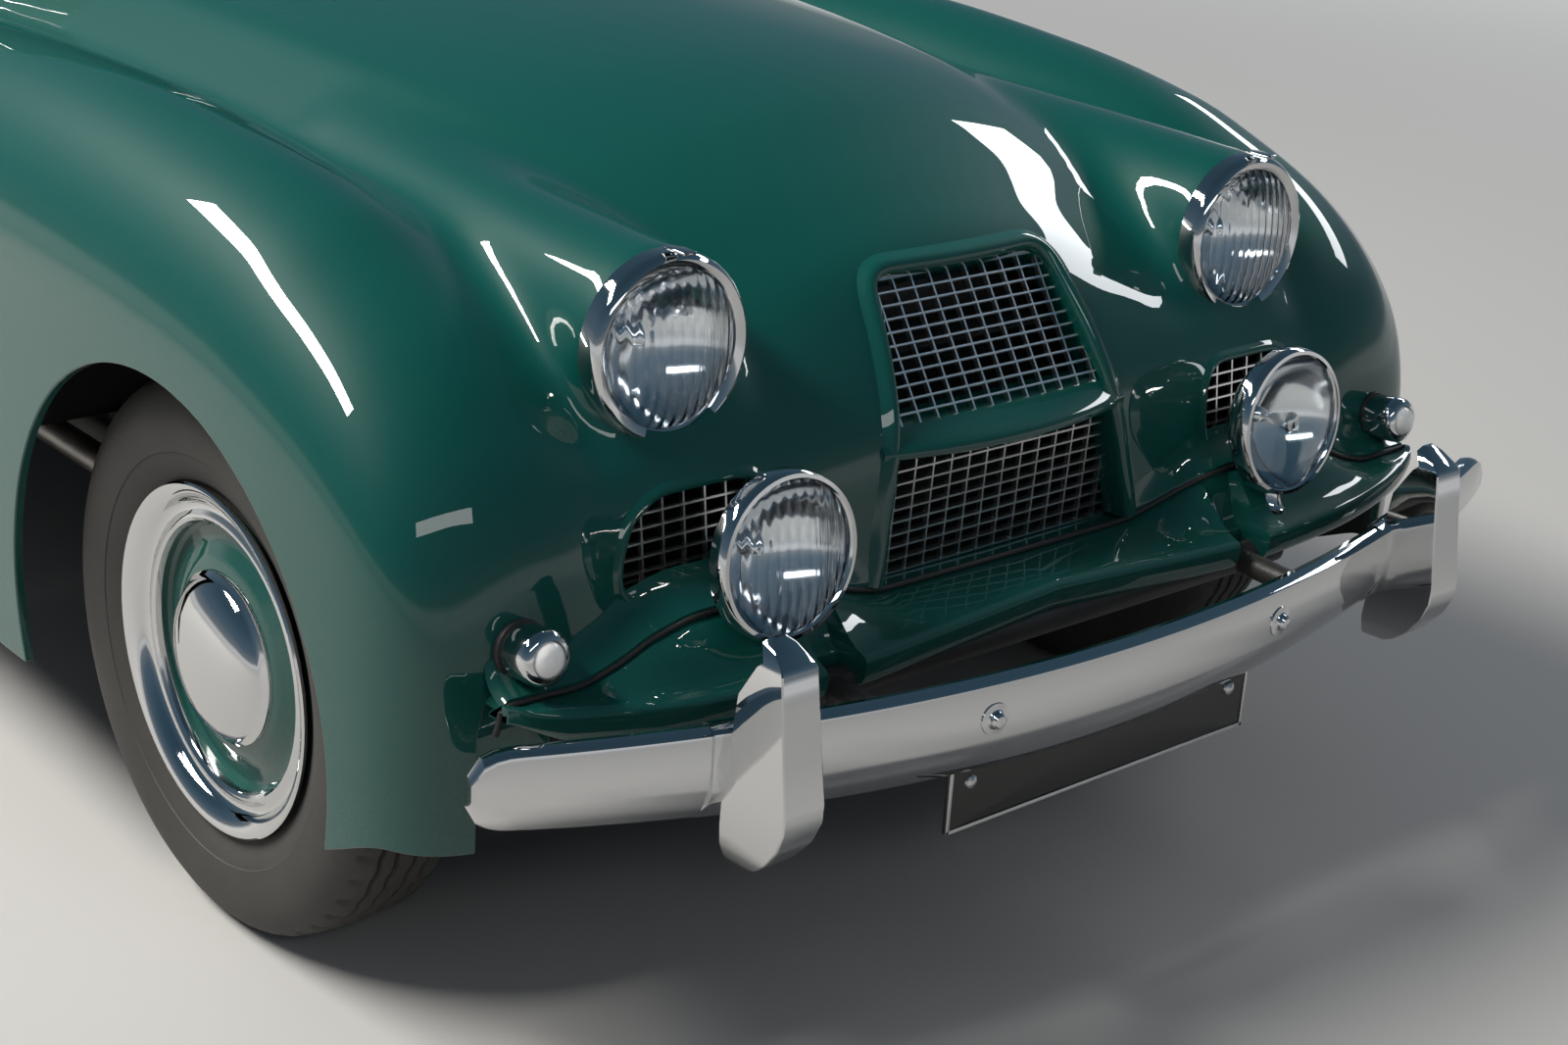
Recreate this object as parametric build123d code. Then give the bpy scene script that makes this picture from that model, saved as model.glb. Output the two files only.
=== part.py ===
# 1950s two-door saloon with a one-piece tilting front, built as separate panels and mechanical pieces.
# Millimetres. X is across the car, +Y points to the tail and +Z up. While a piece is being drawn its
# stations are measured from the front axle; place() moves it so that the origin is on the ground
# under the middle of the whole car.
import math
import os

from build123d import *

# Main sizes
WHEELBASE = 2845.0
TRACK = 1449.0
FRONT_OVERHANG = 792.0
REAR_OVERHANG = 1202.0
SKIN = 12.0
WALL = 45.0
ROOF_WALL = 26.0
PANEL_GAP = 8.0

# Wheels
TYRE_RADIUS = 348.0
TYRE_WIDTH = 168.0
TREAD_WIDTH = 122.0
RIM_RADIUS = 219.0
RIM_WIDTH = 150.0
SPINDLE_RADIUS = 20.0
HUB_CLEARANCE = 0.5
CAP_RADIUS = 109.0
CAP_HEIGHT = 49.0
CAP_SEAT = 45.0
DRUM_RADIUS = 140.0
ARCH_RADIUS = 374.0
WHEELHOUSE_IN = 580.0
KINGPIN_X = 612.0
WHEEL_X = TRACK / 2

# Front clip: the bonnet, both wings and the nose in one panel
CLIP_REAR = 1080.0
CLIP_HINGE_Y = -600.0
CLIP_HINGE_Z = 440.0
NOSE_SEAM_HALF = 764.0
BODY_LOW = 200.0
HEADLAMP = (481.0, -452.0, 816.0)
HEADLAMP_RADIUS = 90.0
HEADLAMP_RIM = 107.5
HEADLAMP_TILT = 2.0
HEADLAMP_HOLE = 92.0
HEADLAMP_SEAT = 12.0
FOG_LAMP = (427.0, -604.0, 614.0)
FOG_LAMP_RADIUS = 88.5
FOG_LAMP_RIM = 97.0
FOG_LAMP_TILT = 6.0
FOG_POST_Y = -588.0
SIDE_LAMP = (721.0, -572.0, 553.0)
SIDE_LAMP_RADIUS = 31.0
SIDE_LAMP_TILT = 8.0

# Grilles
GRILLE_OUTLINE = ((-232, 440), (232, 440), (150, 844), (-150, 844))
GRILLE_CORNER = 34.0
GRILLE_FOOT = (-486.0, 492.0)
GRILLE_BEND = (-494.0, 664.0)
GRILLE_HEAD = (-380.0, 848.0)
GRILLE_DEPTH = 9.0
SIDE_GRILLE_OUTLINE = ((364, 556), (586, 556), (583, 606), (562, 648), (520, 670), (392, 672), (366, 640))
SIDE_GRILLE_CORNER = 12.0
SIDE_GRILLE_FOOT = (-478.0, 550.0)
SIDE_GRILLE_HEAD = (-462.0, 672.0)
OPENING_RETURN = 8.0
CELL_WIDTH = 30.0
CELL_HEIGHT = 16.3
GRILLE_STRIP = 2.6
GRILLE_BAND = 4.0
SHELF_Z = 662.0
SHELF_FRONT = -542.0
SHELF_HALF = 206.0
SHELF_BOW = 30.0
SHELF_DEPTH = 44.0

# Apron: the shelf under the nose seam, with notches for the bumper irons
APRON_WALL = 4.0
APRON_LIP = 22.0
APRON_REAR_Y = -512.0
NOTCH_X = 354.0
NOTCH_HALF = 27.0
NOTCH_DEEP = 44.0

# Bumpers
BUMPER_CURVE = 2483.0
BUMPER_HALF = 852.0
BUMPER_Z = 474.0
BUMPER_FACE = 775.0
BUMPER_WALL = 4.5
RIDER_X = 550.0
RIDER_PROUD = 17.0
PLATE_WIDTH = 520.0
PLATE_HEIGHT = 111.0
PLATE_LOW_Z = 272.0
PLATE_SET_BACK = 59.0
REAR_PLATE_LOW_Z = 440.0
PLATE_THICKNESS = 6.0
TAIL_LAMP_X = 572.0
TAIL_LAMP_Z = 526.0

# Cabin
FLOOR_LOW = 262.0
FLOOR_WALL = 40.0
DOOR_FRONT = 1120.0
DOOR_REAR = 2130.0
DOOR_LOW = 345.0
DOOR_HINGE_X = 868.0
DOOR_REAR_PLAY = 6.0
DOOR_CORNER = 40.0
PILLAR_FOOT_X = 660.0
BOOT_FRONT = 3290.0
BOOT_REAR = 3780.0
BOOT_SIDE_PLAY = 5.0
BOOT_HALF = 430.0
BOOT_CORNER = 70.0
WAIST_DROP = 3.0
SCREEN_FOOT = 1190.0
BODY_END = 3900.0
ROOF_END = 3840.0
RAIL_X = 330.0
DOOR_HANDLE_X = 868.0
DOOR_HANDLE_Z = 745.0
DOOR_HANDLE_Y = 1940.0
DASH_HALF = 555.0
STEERING = (-360.0, 1560.0, 800.0)
STEERING_RADIUS = 215.0
STEERING_RAKE = 28.0

REAR_AXLE_Y = WHEELBASE
LENGTH = FRONT_OVERHANG + WHEELBASE + REAR_OVERHANG
FRONT_AXLE_Y = FRONT_OVERHANG - LENGTH / 2
FRONT_BAR_Y = -BUMPER_FACE
REAR_BAR_Y = REAR_AXLE_Y + REAR_OVERHANG - RIDER_PROUD

# Lower body sections. Columns: station; half width of the side and the height where it turns in;
# wing top (x, z); valley beside the wing (x, z); bonnet or deck shoulder (x, z); crown z.
CLIP_SECTIONS = (
    (-530, 745, 430, 672, 520, 596, 492, 205, 500, 502),
    (-512, 800, 490, 677, 625, 598, 552, 210, 632, 640),
    (-496, 822, 530, 680, 668, 596, 640, 216, 684, 694),
    (-470, 843, 585, 683, 718, 588, 698, 228, 734, 748),
    (-430, 856, 632, 686, 765, 576, 730, 246, 784, 810),
    (-323, 866, 690, 690, 845, 560, 790, 292, 856, 897),
    (-121, 870, 726, 693, 924, 552, 850, 362, 932, 975),
    (100, 871, 740, 694, 957, 550, 880, 402, 966, 1010),
    (420, 871, 748, 694, 974, 560, 902, 425, 986, 1030),
    (1080, 866, 752, 692, 950, 602, 916, 455, 1003, 1046),
)
TUB_SECTIONS = (
    (1080, 866, 752, 692, 950, 602, 916, 455, 1003, 1046),
    (1250, 866, 738, 728, 926, 662, 918, 520, 1005, 1046),
    (1600, 863, 680, 806, 850, 748, 905, 640, 978, 1040),
    (2160, 855, 580, 812, 762, 762, 890, 660, 960, 1030),
    (2450, 867, 640, 798, 822, 740, 880, 640, 950, 1015),
    (2845, 872, 694, 738, 896, 670, 868, 590, 925, 985),
    (3100, 866, 690, 722, 890, 640, 838, 560, 888, 950),
    (3350, 848, 655, 706, 850, 610, 790, 535, 840, 900),
    (3600, 812, 592, 682, 778, 580, 715, 505, 770, 830),
    (3780, 762, 520, 650, 692, 548, 630, 470, 680, 735),
    (BODY_END, 682, 430, 600, 572, 505, 525, 430, 550, 590),
)
# Roof sections. Columns: station; half width ROOF_FOOT_DROP under the side top; half width at the side
# top; side top z; shoulder z; crown z; corner width.
ROOF_FOOT_DROP = 400.0
ROOF_SECTIONS = (
    (SCREEN_FOOT, 745, 690, 930, 975, 1035, 90),
    (1400, 743, 630, 1165, 1238, 1304, 106),
    (1520, 742, 604, 1285, 1368, 1430, 112),
    (1850, 740, 604, 1334, 1426, 1500, 122),
    (2250, 736, 604, 1335, 1430, 1508, 130),
    (2500, 718, 596, 1318, 1416, 1496, 136),
    (2700, 698, 582, 1284, 1384, 1462, 142),
    (2950, 660, 552, 1212, 1312, 1386, 148),
    (3150, 634, 522, 1128, 1224, 1292, 150),
    (3350, 590, 486, 1026, 1112, 1172, 148),
    (3550, 546, 450, 908, 978, 1030, 138),
    (3720, 502, 416, 790, 846, 890, 124),
    (ROOF_END, 462, 384, 690, 738, 774, 112),
)
# The pod behind each headlamp. Columns: station; centre x, centre z; radius.
NACELLE = (
    (-445, 481, 816, 106.0),
    (-330, 480, 820, 105.5),
    (-180, 476, 829, 101.0),
    (0, 466, 842, 90.0),
    (200, 450, 850, 76.0),
)
# The body's lower edge in side view, (y, z).
LOW_EDGE = (
    (-560, 322),
    (-470, 322),
    (-380, 290),
    (-300, 250),
    (300, 232),
    (700, 240),
    (2560, 240),
    (3100, 262),
    (3400, 300),
    (3700, 368),
    (3920, 424),
)
# The seam between nose and apron, with the apron's front edge. Columns: x; seam y, seam z; front y, front z.
SEAM = (
    (0, -528, 500, -620, 487),
    (205, -529, 502, -627, 480),
    (300, -541, 530, -631, 476),
    (400, -553, 550, -632, 475),
    (505, -557, 550, -628, 478),
    (568, -557, 539, -622, 481),
    (673, -557, 506, -603, 491),
    (740, -556, 506, -583, 497),
    (NOSE_SEAM_HALF - 2, -552, 502, -566, 500),
)
# Bumper bar section, (depth behind the face, height over the bar's datum), outside only.
BAR_OUTSIDE = ((24, 9), (14, 12), (6, 9.5), (0, -2), (0, -62), (9, -84), (34, -118))
# Overrider sections. Columns: height over the bar's datum; front depth; half width; rear depth.
BLADE = (
    (126, 38, 8, 44),
    (120, 30, 16, 46),
    (98, 4, 25, 40),
    (60, -1, 26, 62),
    (0, -9, 27, 68),
    (-50, -RIDER_PROUD, 28, 72),
    (-98, -5, 26, 78),
    (-124, 16, 21, 84),
    (-154, 58, 5, 92),
)
DOOR_OUTLINE = (
    (DOOR_FRONT, DOOR_LOW),
    (DOOR_FRONT, 930),
    (1300, 990),
    (1570, 1372),
    (2085, 1372),
    (2125, 960),
    (DOOR_REAR, DOOR_LOW),
)
DOOR_WINDOW = ((1380, 1010), (1608, 1325), (2045, 1325), (2080, 1010))
QUARTER_WINDOW = ((2215, 1010), (2192, 1325), (2400, 1310), (2545, 1200), (2600, 1010))
REAR_WINDOW = ((-400, 2800), (400, 2800), (350, 3130), (-350, 3130))
SCREEN_HALF = ((22, 1085), (560, 1060), (525, 1352), (22, 1372))
WINDOW_CORNER = 45.0


def between(table, y):
    """The row of a table at one station, straight between its neighbours."""
    for low, high in zip(table, table[1:]):
        if low[0] <= y <= high[0]:
            t = (y - low[0]) / (high[0] - low[0])
            return tuple(a + (b - a) * t for a, b in zip(low, high))
    return table[-1]


def stations(table, start, end):
    """The rows from start to end, with the two ends put in."""
    return [between(table, start)] + [row for row in table if start < row[0] < end] + [between(table, end)]


def lower_ring(row, low_z, inset):
    """One closed lower-body section: side, wing, valley, shoulder and crown, in lines and tangent arcs."""
    y, side, side_z, crest, crest_z, valley, valley_z, shoulder, shoulder_z, crown_z = row
    side, crest_z, valley_z = side - inset, crest_z - inset, valley_z - inset
    shoulder_z, crown_z = shoulder_z - inset, crown_z - inset
    k = math.sqrt(0.5)
    flank = (crest + (side - crest) * k, side_z + (crest_z - side_z) * k)
    span = math.hypot(crest - valley, crest_z - valley_z)
    if crest_z > valley_z:
        dx, dz = crest - valley, crest_z - valley_z
        radius = span * span / (2 * dz)
        turn = math.asin(min(1.0, dx / radius))
        turn = (math.pi - turn) / 2 if dz > dx else turn / 2
        slope = (crest - radius * math.sin(turn), crest_z - radius * (1 - math.cos(turn)))
    else:
        slope = ((crest + valley) / 2 + 3 * (valley_z - crest_z) / span, (crest_z + valley_z) / 2 + 3 * (crest - valley) / span)

    def at(point, way):
        return Vector(way * point[0], y, point[1])

    def half(way):
        names = ((side, low_z), (side, side_z), flank, (crest, crest_z), slope, (valley, valley_z), (shoulder, shoulder_z))
        foot, a, b, c, d, e, f = [at(point, way) for point in names]
        return [
            Edge.make_line(foot, a),
            Edge.make_three_point_arc(a, b, c),
            Edge.make_three_point_arc(c, d, e),
            Edge.make_line(e, f),
        ]

    crown = Edge.make_three_point_arc(at((shoulder, shoulder_z), -1), Vector(0, y, crown_z), at((shoulder, shoulder_z), 1))
    floor = Edge.make_line(at((side, low_z), 1), at((side, low_z), -1))
    return Wire(half(-1) + [crown] + half(1)[::-1] + [floor])


def roof_ring(row, low_z, inset):
    """One closed roof section: a flat foot, leaning sides, round corners and a crowned top."""
    y, low, high, side, shoulder, crown, corner = row
    low += (high - low) * (low_z - side + ROOF_FOOT_DROP) / ROOF_FOOT_DROP
    low, high = low - inset, high - inset
    side, shoulder, crown = side - inset, shoulder - inset, crown - inset
    bend = 1 - math.cos(math.pi / 4)

    def at(x, z):
        return Vector(x, y, z)

    def corner_arc(way):
        knee = at(way * (high - corner * bend), shoulder - (shoulder - side) * bend)
        return at(way * high, side), knee, at(way * (high - corner), shoulder)

    left, right = corner_arc(-1), corner_arc(1)
    return Wire(
        [
            Edge.make_line(at(-low, low_z), left[0]),
            Edge.make_three_point_arc(*left),
            Edge.make_three_point_arc(left[2], at(0, crown), right[2]),
            Edge.make_three_point_arc(*reversed(right)),
            Edge.make_line(right[0], at(low, low_z)),
            Edge.make_line(at(low, low_z), at(-low, low_z)),
        ]
    )


def form(table, ring, low_z, inset=0.0, ends=(0.0, 0.0), nose=0.0):
    """A loft through a table of sections. ends moves the first station back and the last one forward;
    nose moves every station ahead of the axle back by a wall."""
    rows = [list(row) for row in table]
    for row in rows:
        row[0] += nose if row[0] < 0 else 0.0
    rows[0][0] += ends[0]
    rows[-1][0] -= ends[1]
    return Solid.make_loft([ring(row, low_z, inset) for row in rows], ruled=True)


def mirrored(shape):
    return shape.mirror(Plane.YZ)


def both(shape):
    return [shape, mirrored(shape)]


def outline_wire(points, radius, at):
    """A closed outline with rounded corners; at turns its two numbers into a place."""
    if not radius:
        return Wire.make_polygon([at(u, v) for u, v in points], close=True)
    count = len(points)
    corners = []
    for i in range(count):
        (ux, vx), (u, v), (uy, vy) = points[i - 1], points[i], points[(i + 1) % count]
        a, b = math.hypot(ux - u, vx - v), math.hypot(uy - u, vy - v)
        au, av, bu, bv = (ux - u) / a, (vx - v) / a, (uy - u) / b, (vy - v) / b
        half = math.acos(max(-1.0, min(1.0, au * bu + av * bv))) / 2
        back = min(radius / math.tan(half), 0.45 * min(a, b))
        small = back * math.tan(half)
        mu, mv = au + bu, av + bv
        size = math.hypot(mu, mv)
        reach = small / math.sin(half) - small
        corners.append(((u + au * back, v + av * back), (u + mu / size * reach, v + mv / size * reach), (u + bu * back, v + bv * back)))
    edges = []
    for i in range(count):
        start, middle, end = [at(*point) for point in corners[i]]
        edges.append(Edge.make_three_point_arc(start, middle, end))
        edges.append(Edge.make_line(end, at(*corners[(i + 1) % count][0])))
    return Wire(edges)


def prism_x(points, x0=-1200.0, x1=1200.0, radius=0.0):
    """A side-view outline in Y and Z, drawn from x0 to x1."""
    wire = outline_wire(points, radius, lambda y, z: Vector(x0, y, z))
    return Solid.extrude(Face(wire), Vector(x1 - x0, 0, 0))


def prism_y(points, y0, y1, radius=0.0):
    """A front-view outline in X and Z, drawn from one station to another."""
    wire = outline_wire(points, radius, lambda x, z: Vector(x, y0, z))
    return Solid.extrude(Face(wire), Vector(0, y1 - y0, 0))


def prism_z(points, z0, z1, radius=0.0):
    """A plan outline in X and Y, drawn from one height to another."""
    wire = outline_wire(points, radius, lambda x, y: Vector(x, y, z0))
    return Solid.extrude(Face(wire), Vector(0, 0, z1 - z0))


def block(x0, x1, y0, y1, z0, z1):
    return Pos((x0 + x1) / 2, (y0 + y1) / 2, (z0 + z1) / 2) * Box(x1 - x0, y1 - y0, z1 - z0)


def rod(start, end, radius):
    """A round bar from one point to another."""
    a, b = Vector(*start), Vector(*end)
    return Solid.make_cylinder(radius, (b - a).length, Plane(origin=a, z_dir=b - a))


def turned_x(points, x, y, z):
    """A closed outline of (x, radius) pairs, turned about an axis along X through the given point."""
    wire = Wire.make_polygon([Vector(px, r, 0) for px, r in points], close=True)
    return Pos(x, y, z) * Solid.revolve(Face(wire), 360, Axis.X)


def turned_y(points, x, y, z, tilt=0.0):
    """A closed outline of (depth, radius) pairs, turned about an axis along Y through the given point and
    tilted so that its front looks up by tilt degrees."""
    wire = Wire.make_polygon([Vector(r, py, 0) for py, r in points], close=True)
    return Pos(x, y, z) * (Rot(-tilt, 0, 0) * Solid.revolve(Face(wire), 360, Axis.Y))


def fuse(shapes):
    first, *rest = shapes
    return first.fuse(*rest) if rest else first


def pieces(shape):
    """The solids of a result, as a plain list."""
    if isinstance(shape, (list, tuple)):
        return [solid for part in shape for solid in pieces(part)]
    return list(shape.solids())


def largest(shape):
    return max(pieces(shape), key=lambda piece: piece.volume)


def common(shape, tool):
    """What two solids share, as one shape."""
    solids = pieces(shape.intersect(tool))
    return solids[0] if len(solids) == 1 else Compound(solids)


def grow_outline(points, grow):
    """A convex outline moved outwards by grow."""
    count = len(points)
    area = sum(points[i][0] * points[(i + 1) % count][1] - points[(i + 1) % count][0] * points[i][1] for i in range(count))
    way = 1 if area > 0 else -1
    lines = []
    for i in range(count):
        (x0, y0), (x1, y1) = points[i], points[(i + 1) % count]
        length = math.hypot(x1 - x0, y1 - y0)
        nx, ny = way * (y1 - y0) / length, -way * (x1 - x0) / length
        lines.append((nx, ny, nx * x0 + ny * y0 + grow))
    out = []
    for i in range(count):
        a1, b1, c1 = lines[i - 1]
        a2, b2, c2 = lines[i]
        det = a1 * b2 - a2 * b1
        out.append(((c1 * b2 - c2 * b1) / det, (a1 * c2 - a2 * c1) / det))
    return out


def nacelle(inset=0.0, front=0.0):
    """The pod that runs back from each headlamp into the valley beside the bonnet."""
    wires = []
    for y, x, z, radius in NACELLE:
        plane = Plane(origin=(x, y + front, z), x_dir=(1, 0, 0), z_dir=(0, 1, 0))
        wires.append(Wire.make_circle(radius - inset, plane))
    return Solid.make_loft(wires, ruled=True)


def under_edge():
    """Everything under the body's lower edge."""
    return prism_x(tuple(LOW_EDGE) + ((LOW_EDGE[-1][0], -50), (LOW_EDGE[0][0], -50)))


def below_seam():
    """Everything under the nose seam, between the wing corners."""
    right = [(row[0], row[2]) for row in SEAM[1:]]
    right[-1] = (NOSE_SEAM_HALF, right[-1][1])
    left = [(-x, z) for x, z in reversed(right)]
    points = left + [(SEAM[0][0], SEAM[0][2])] + right + [(NOSE_SEAM_HALF, 0), (-NOSE_SEAM_HALF, 0)]
    return prism_y(points, -700, -380)


def opening_return(outline, radius, floor_line):
    """The turned-in edge of a grille opening, back to the given (y, z) line."""
    ring = prism_y(grow_outline(outline, OPENING_RETURN), -600, -300, radius + OPENING_RETURN)
    ring = ring.cut(prism_y(outline, -610, -290, radius))
    (y0, z0), (y1, z1) = floor_line
    depth = GRILLE_DEPTH + 4
    front = prism_x([(-620, z0 - 80), (y0 + depth, z0 - 80), (y0 + depth, z0), (y1 + depth, z1), (y1 + depth + 8, z1 + 12), (-620, z1 + 12)])
    return common(ring, front)


def outer_clip():
    return fuse([form(CLIP_SECTIONS, lower_ring, BODY_LOW)] + both(nacelle()))


def front_clip():
    outer = outer_clip()
    inner = form(CLIP_SECTIONS, lower_ring, BODY_LOW - 60, SKIN, (0.0, -20.0), SKIN)
    shell = outer.cut(inner, *both(nacelle(SKIN, SKIN)))
    main = opening_return(GRILLE_OUTLINE, GRILLE_CORNER, (GRILLE_BEND, GRILLE_HEAD))
    side = opening_return(SIDE_GRILLE_OUTLINE, SIDE_GRILLE_CORNER, (SIDE_GRILLE_FOOT, SIDE_GRILLE_HEAD))
    opening = prism_y(GRILLE_OUTLINE, -700, -300, GRILLE_CORNER)
    side_opening = prism_y(SIDE_GRILLE_OUTLINE, -700, -400, SIDE_GRILLE_CORNER)
    returns = [common(ring, outer) for ring in [main] + both(side)]
    shell = shell.cut(opening, *both(side_opening)).fuse(*returns)
    arch = rod((KINGPIN_X, 0, TYRE_RADIUS), (1000, 0, TYRE_RADIUS), ARCH_RADIUS)
    x, y, z = HEADLAMP
    lamp_hole = rod((x, y - 20, z), (x, y + 40, z), HEADLAMP_HOLE)
    rear_gap = block(-1000, 1000, CLIP_REAR - PANEL_GAP, CLIP_REAR + 10, 0, 1200)
    swing = CLIP_REAR - PANEL_GAP - CLIP_HINGE_Y
    hinge = (CLIP_HINGE_Y, CLIP_HINGE_Z)
    low_gap = block(-1000, 1000, CLIP_REAR - 120, CLIP_REAR + 10, 0, CLIP_HINGE_Z).cut(rod((-1100, *hinge), (1100, *hinge), swing))
    return shell.cut(below_seam(), under_edge(), *both(arch), *both(lamp_hole), *both(lamp_seat()), rear_gap, low_gap)


def apron():
    """The shelf under the seam: flat to the seam's front, falling to a rolled lip, lofted across the car."""
    wires = []
    rows = [(-row[0],) + row[1:] for row in reversed(SEAM[1:])] + list(SEAM)
    for x, seam_y, seam_z, front_y, front_z in rows:
        lip = APRON_LIP * min(1.0, (NOSE_SEAM_HALF - abs(x) + 6) / 90)
        t = APRON_WALL
        points = [(APRON_REAR_Y, seam_z), (seam_y, seam_z), (front_y + 4, front_z + 3), (front_y, front_z - 3), (front_y, front_z - 3 - lip)]
        points += [(front_y + t, front_z - 3 - lip), (front_y + t, front_z - 5), (seam_y + t, seam_z - t), (APRON_REAR_Y, seam_z - t)]
        wires.append(Wire.make_polygon([Vector(x, py, pz) for py, pz in points], close=True))
    shelf = Solid.make_loft(wires, ruled=True)
    front = SEAM[3][3]
    notch = block(NOTCH_X - NOTCH_HALF, NOTCH_X + NOTCH_HALF, front - 60, front + NOTCH_DEEP - 9, 400, 600)
    round_end = rod((NOTCH_X, front + NOTCH_DEEP - 24, 400), (NOTCH_X, front + NOTCH_DEEP - 24, 600), NOTCH_HALF - 2)
    return shelf.cut(*both(notch), *both(round_end))


def edge_reach(point, outline):
    """How far a point lies inside a convex outline."""
    count = len(outline)
    area = sum(outline[i][0] * outline[(i + 1) % count][1] - outline[(i + 1) % count][0] * outline[i][1] for i in range(count))
    way = 1 if area > 0 else -1
    reach = []
    for i in range(count):
        (x0, y0), (x1, y1) = outline[i], outline[(i + 1) % count]
        length = math.hypot(x1 - x0, y1 - y0)
        reach.append(way * ((x1 - x0) * (point[1] - y0) - (y1 - y0) * (point[0] - x0)) / length)
    return reach


def clipped(corners, outline):
    """A convex polygon cut down to what lies in a convex outline."""
    for side in range(len(outline)):
        kept = []
        for i, b in enumerate(corners):
            a = corners[i - 1]
            da, db = edge_reach(a, outline)[side], edge_reach(b, outline)[side]
            if (da > 0) != (db > 0):
                t = da / (da - db)
                kept.append((a[0] + (b[0] - a[0]) * t, a[1] + (b[1] - a[1]) * t))
            if db > 0:
                kept.append(b)
        corners = kept
        if len(corners) < 3:
            return []
    return corners


def polygon_area(points):
    return abs(sum(a[0] * b[1] - b[0] * a[1] for a, b in zip(points, points[1:] + points[:1]))) / 2


def cut_corners(outline, radius, which):
    """A convex outline with the numbered corners cut straight, inside their rounding."""
    out = []
    count = len(outline)
    for i in range(count):
        u, v = outline[i]
        if i not in which:
            out.append((u, v))
            continue
        for other in (outline[i - 1], outline[(i + 1) % count]):
            length = math.hypot(other[0] - u, other[1] - v)
            back = min(radius, 0.4 * length)
            out.append((u + (other[0] - u) / length * back, v + (other[1] - v) / length * back))
    return out


def lattice(outline, radius, low, high, depth, rounded):
    """A grille in a leaning plane between two (y, z) lines: an outer band and a lattice of cells whose
    walls run straight back. The cells keep clear of the numbered corners, which are rounded by radius."""
    (y0, z0), (y1, z1) = low, high

    def at(x, z):
        return Vector(x, y0 + (y1 - y0) * (z - z0) / (z1 - z0), z)

    inner = cut_corners(grow_outline(outline, -GRILLE_BAND), radius, rounded)
    xs = [p[0] for p in outline]
    zs = [p[1] for p in outline]
    columns = int((max(xs) - min(xs)) / CELL_WIDTH) // 2 + 2
    rows = int((max(zs) - min(zs)) / CELL_HEIGHT) + 1
    mid = (max(xs) + min(xs)) / 2
    holes = []
    for c in range(-columns, columns + 1):
        for r in range(rows + 1):
            x, z = mid + (c - 0.5) * CELL_WIDTH, min(zs) + GRILLE_BAND + r * CELL_HEIGHT
            w, h = CELL_WIDTH - GRILLE_STRIP, CELL_HEIGHT - GRILLE_STRIP
            corners = clipped([(x, z), (x + w, z), (x + w, z + h), (x, z + h)], inner)
            if corners and polygon_area(corners) > 30:
                holes.append(Wire.make_polygon([at(*p) for p in corners], close=True))
    face = Face(Wire.make_polygon([at(*p) for p in outline], close=True), holes)
    return Solid.extrude(face, Vector(0, depth, 0))


def at_height(outline, z):
    """Half the width of the main opening at a height."""
    (x0, z0), (x1, z1) = outline[1], outline[2]
    return x0 + (x1 - x0) * (z - z0) / (z1 - z0)


def shelf_bar():
    """The bar across the main opening, bowed forward, its front edge rounded off by flats."""
    radius = (SHELF_HALF**2 + SHELF_BOW**2) / (2 * SHELF_BOW)
    r, z = radius, SHELF_Z
    profile = [(r - SHELF_DEPTH, z - 15), (r - 8, z - 15), (r - 1, z - 11), (r, z - 4), (r - 4, z + 2), (r - 12, z + 6), (r - SHELF_DEPTH, z + 12)]
    angle = math.degrees(math.asin(SHELF_HALF / radius))
    wire = Wire.make_polygon([Vector(pr, 0, pz) for pr, pz in profile], close=True)
    bar = Rotation(0, 0, -90 - angle) * Solid.revolve(Face(wire), 2 * angle, Axis.Z)
    return Pos(0, SHELF_FRONT + radius, 0) * bar


def main_grille(clip):
    """The nose grille: a leaning mesh over a nearly upright one, parted by the bowed bar."""
    bend = GRILLE_BEND[1]
    foot = SEAM[1][2] + 1
    wide, middle, narrow = [at_height(GRILLE_OUTLINE, z) for z in (foot, bend, GRILLE_OUTLINE[2][1])]
    low = [(-wide, foot), (wide, foot), (middle, bend), (-middle, bend)]
    high = [(-middle, bend), (middle, bend), (narrow, GRILLE_OUTLINE[2][1]), (-narrow, GRILLE_OUTLINE[2][1])]
    top = prism_y(GRILLE_OUTLINE, -700, -300, GRILLE_CORNER)
    upper = common(lattice(high, GRILLE_CORNER, GRILLE_BEND, GRILLE_HEAD, GRILLE_DEPTH, (2, 3)), top)
    lower = lattice(low, 0.0, GRILLE_FOOT, GRILLE_BEND, GRILLE_DEPTH, ())
    return fuse([lower, upper, shelf_bar()]).cut(clip)


def side_grilles():
    low, high = SIDE_GRILLE_FOOT, SIDE_GRILLE_HEAD
    every = range(len(SIDE_GRILLE_OUTLINE))
    mesh = lattice(SIDE_GRILLE_OUTLINE, SIDE_GRILLE_CORNER * 0.4, low, high, GRILLE_DEPTH, every)
    return both(common(mesh, prism_y(SIDE_GRILLE_OUTLINE, -700, -300, SIDE_GRILLE_CORNER)))


def lamp_seat():
    """The room for a headlamp's rim. Its flat back is the plane that the rim bears on."""
    x, y, z = HEADLAMP
    reach = HEADLAMP_RIM + 1
    return turned_y([(-60, 0.0), (-60, reach), (HEADLAMP_SEAT, reach), (HEADLAMP_SEAT, 0.0)], x, y, z, HEADLAMP_TILT)


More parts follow.
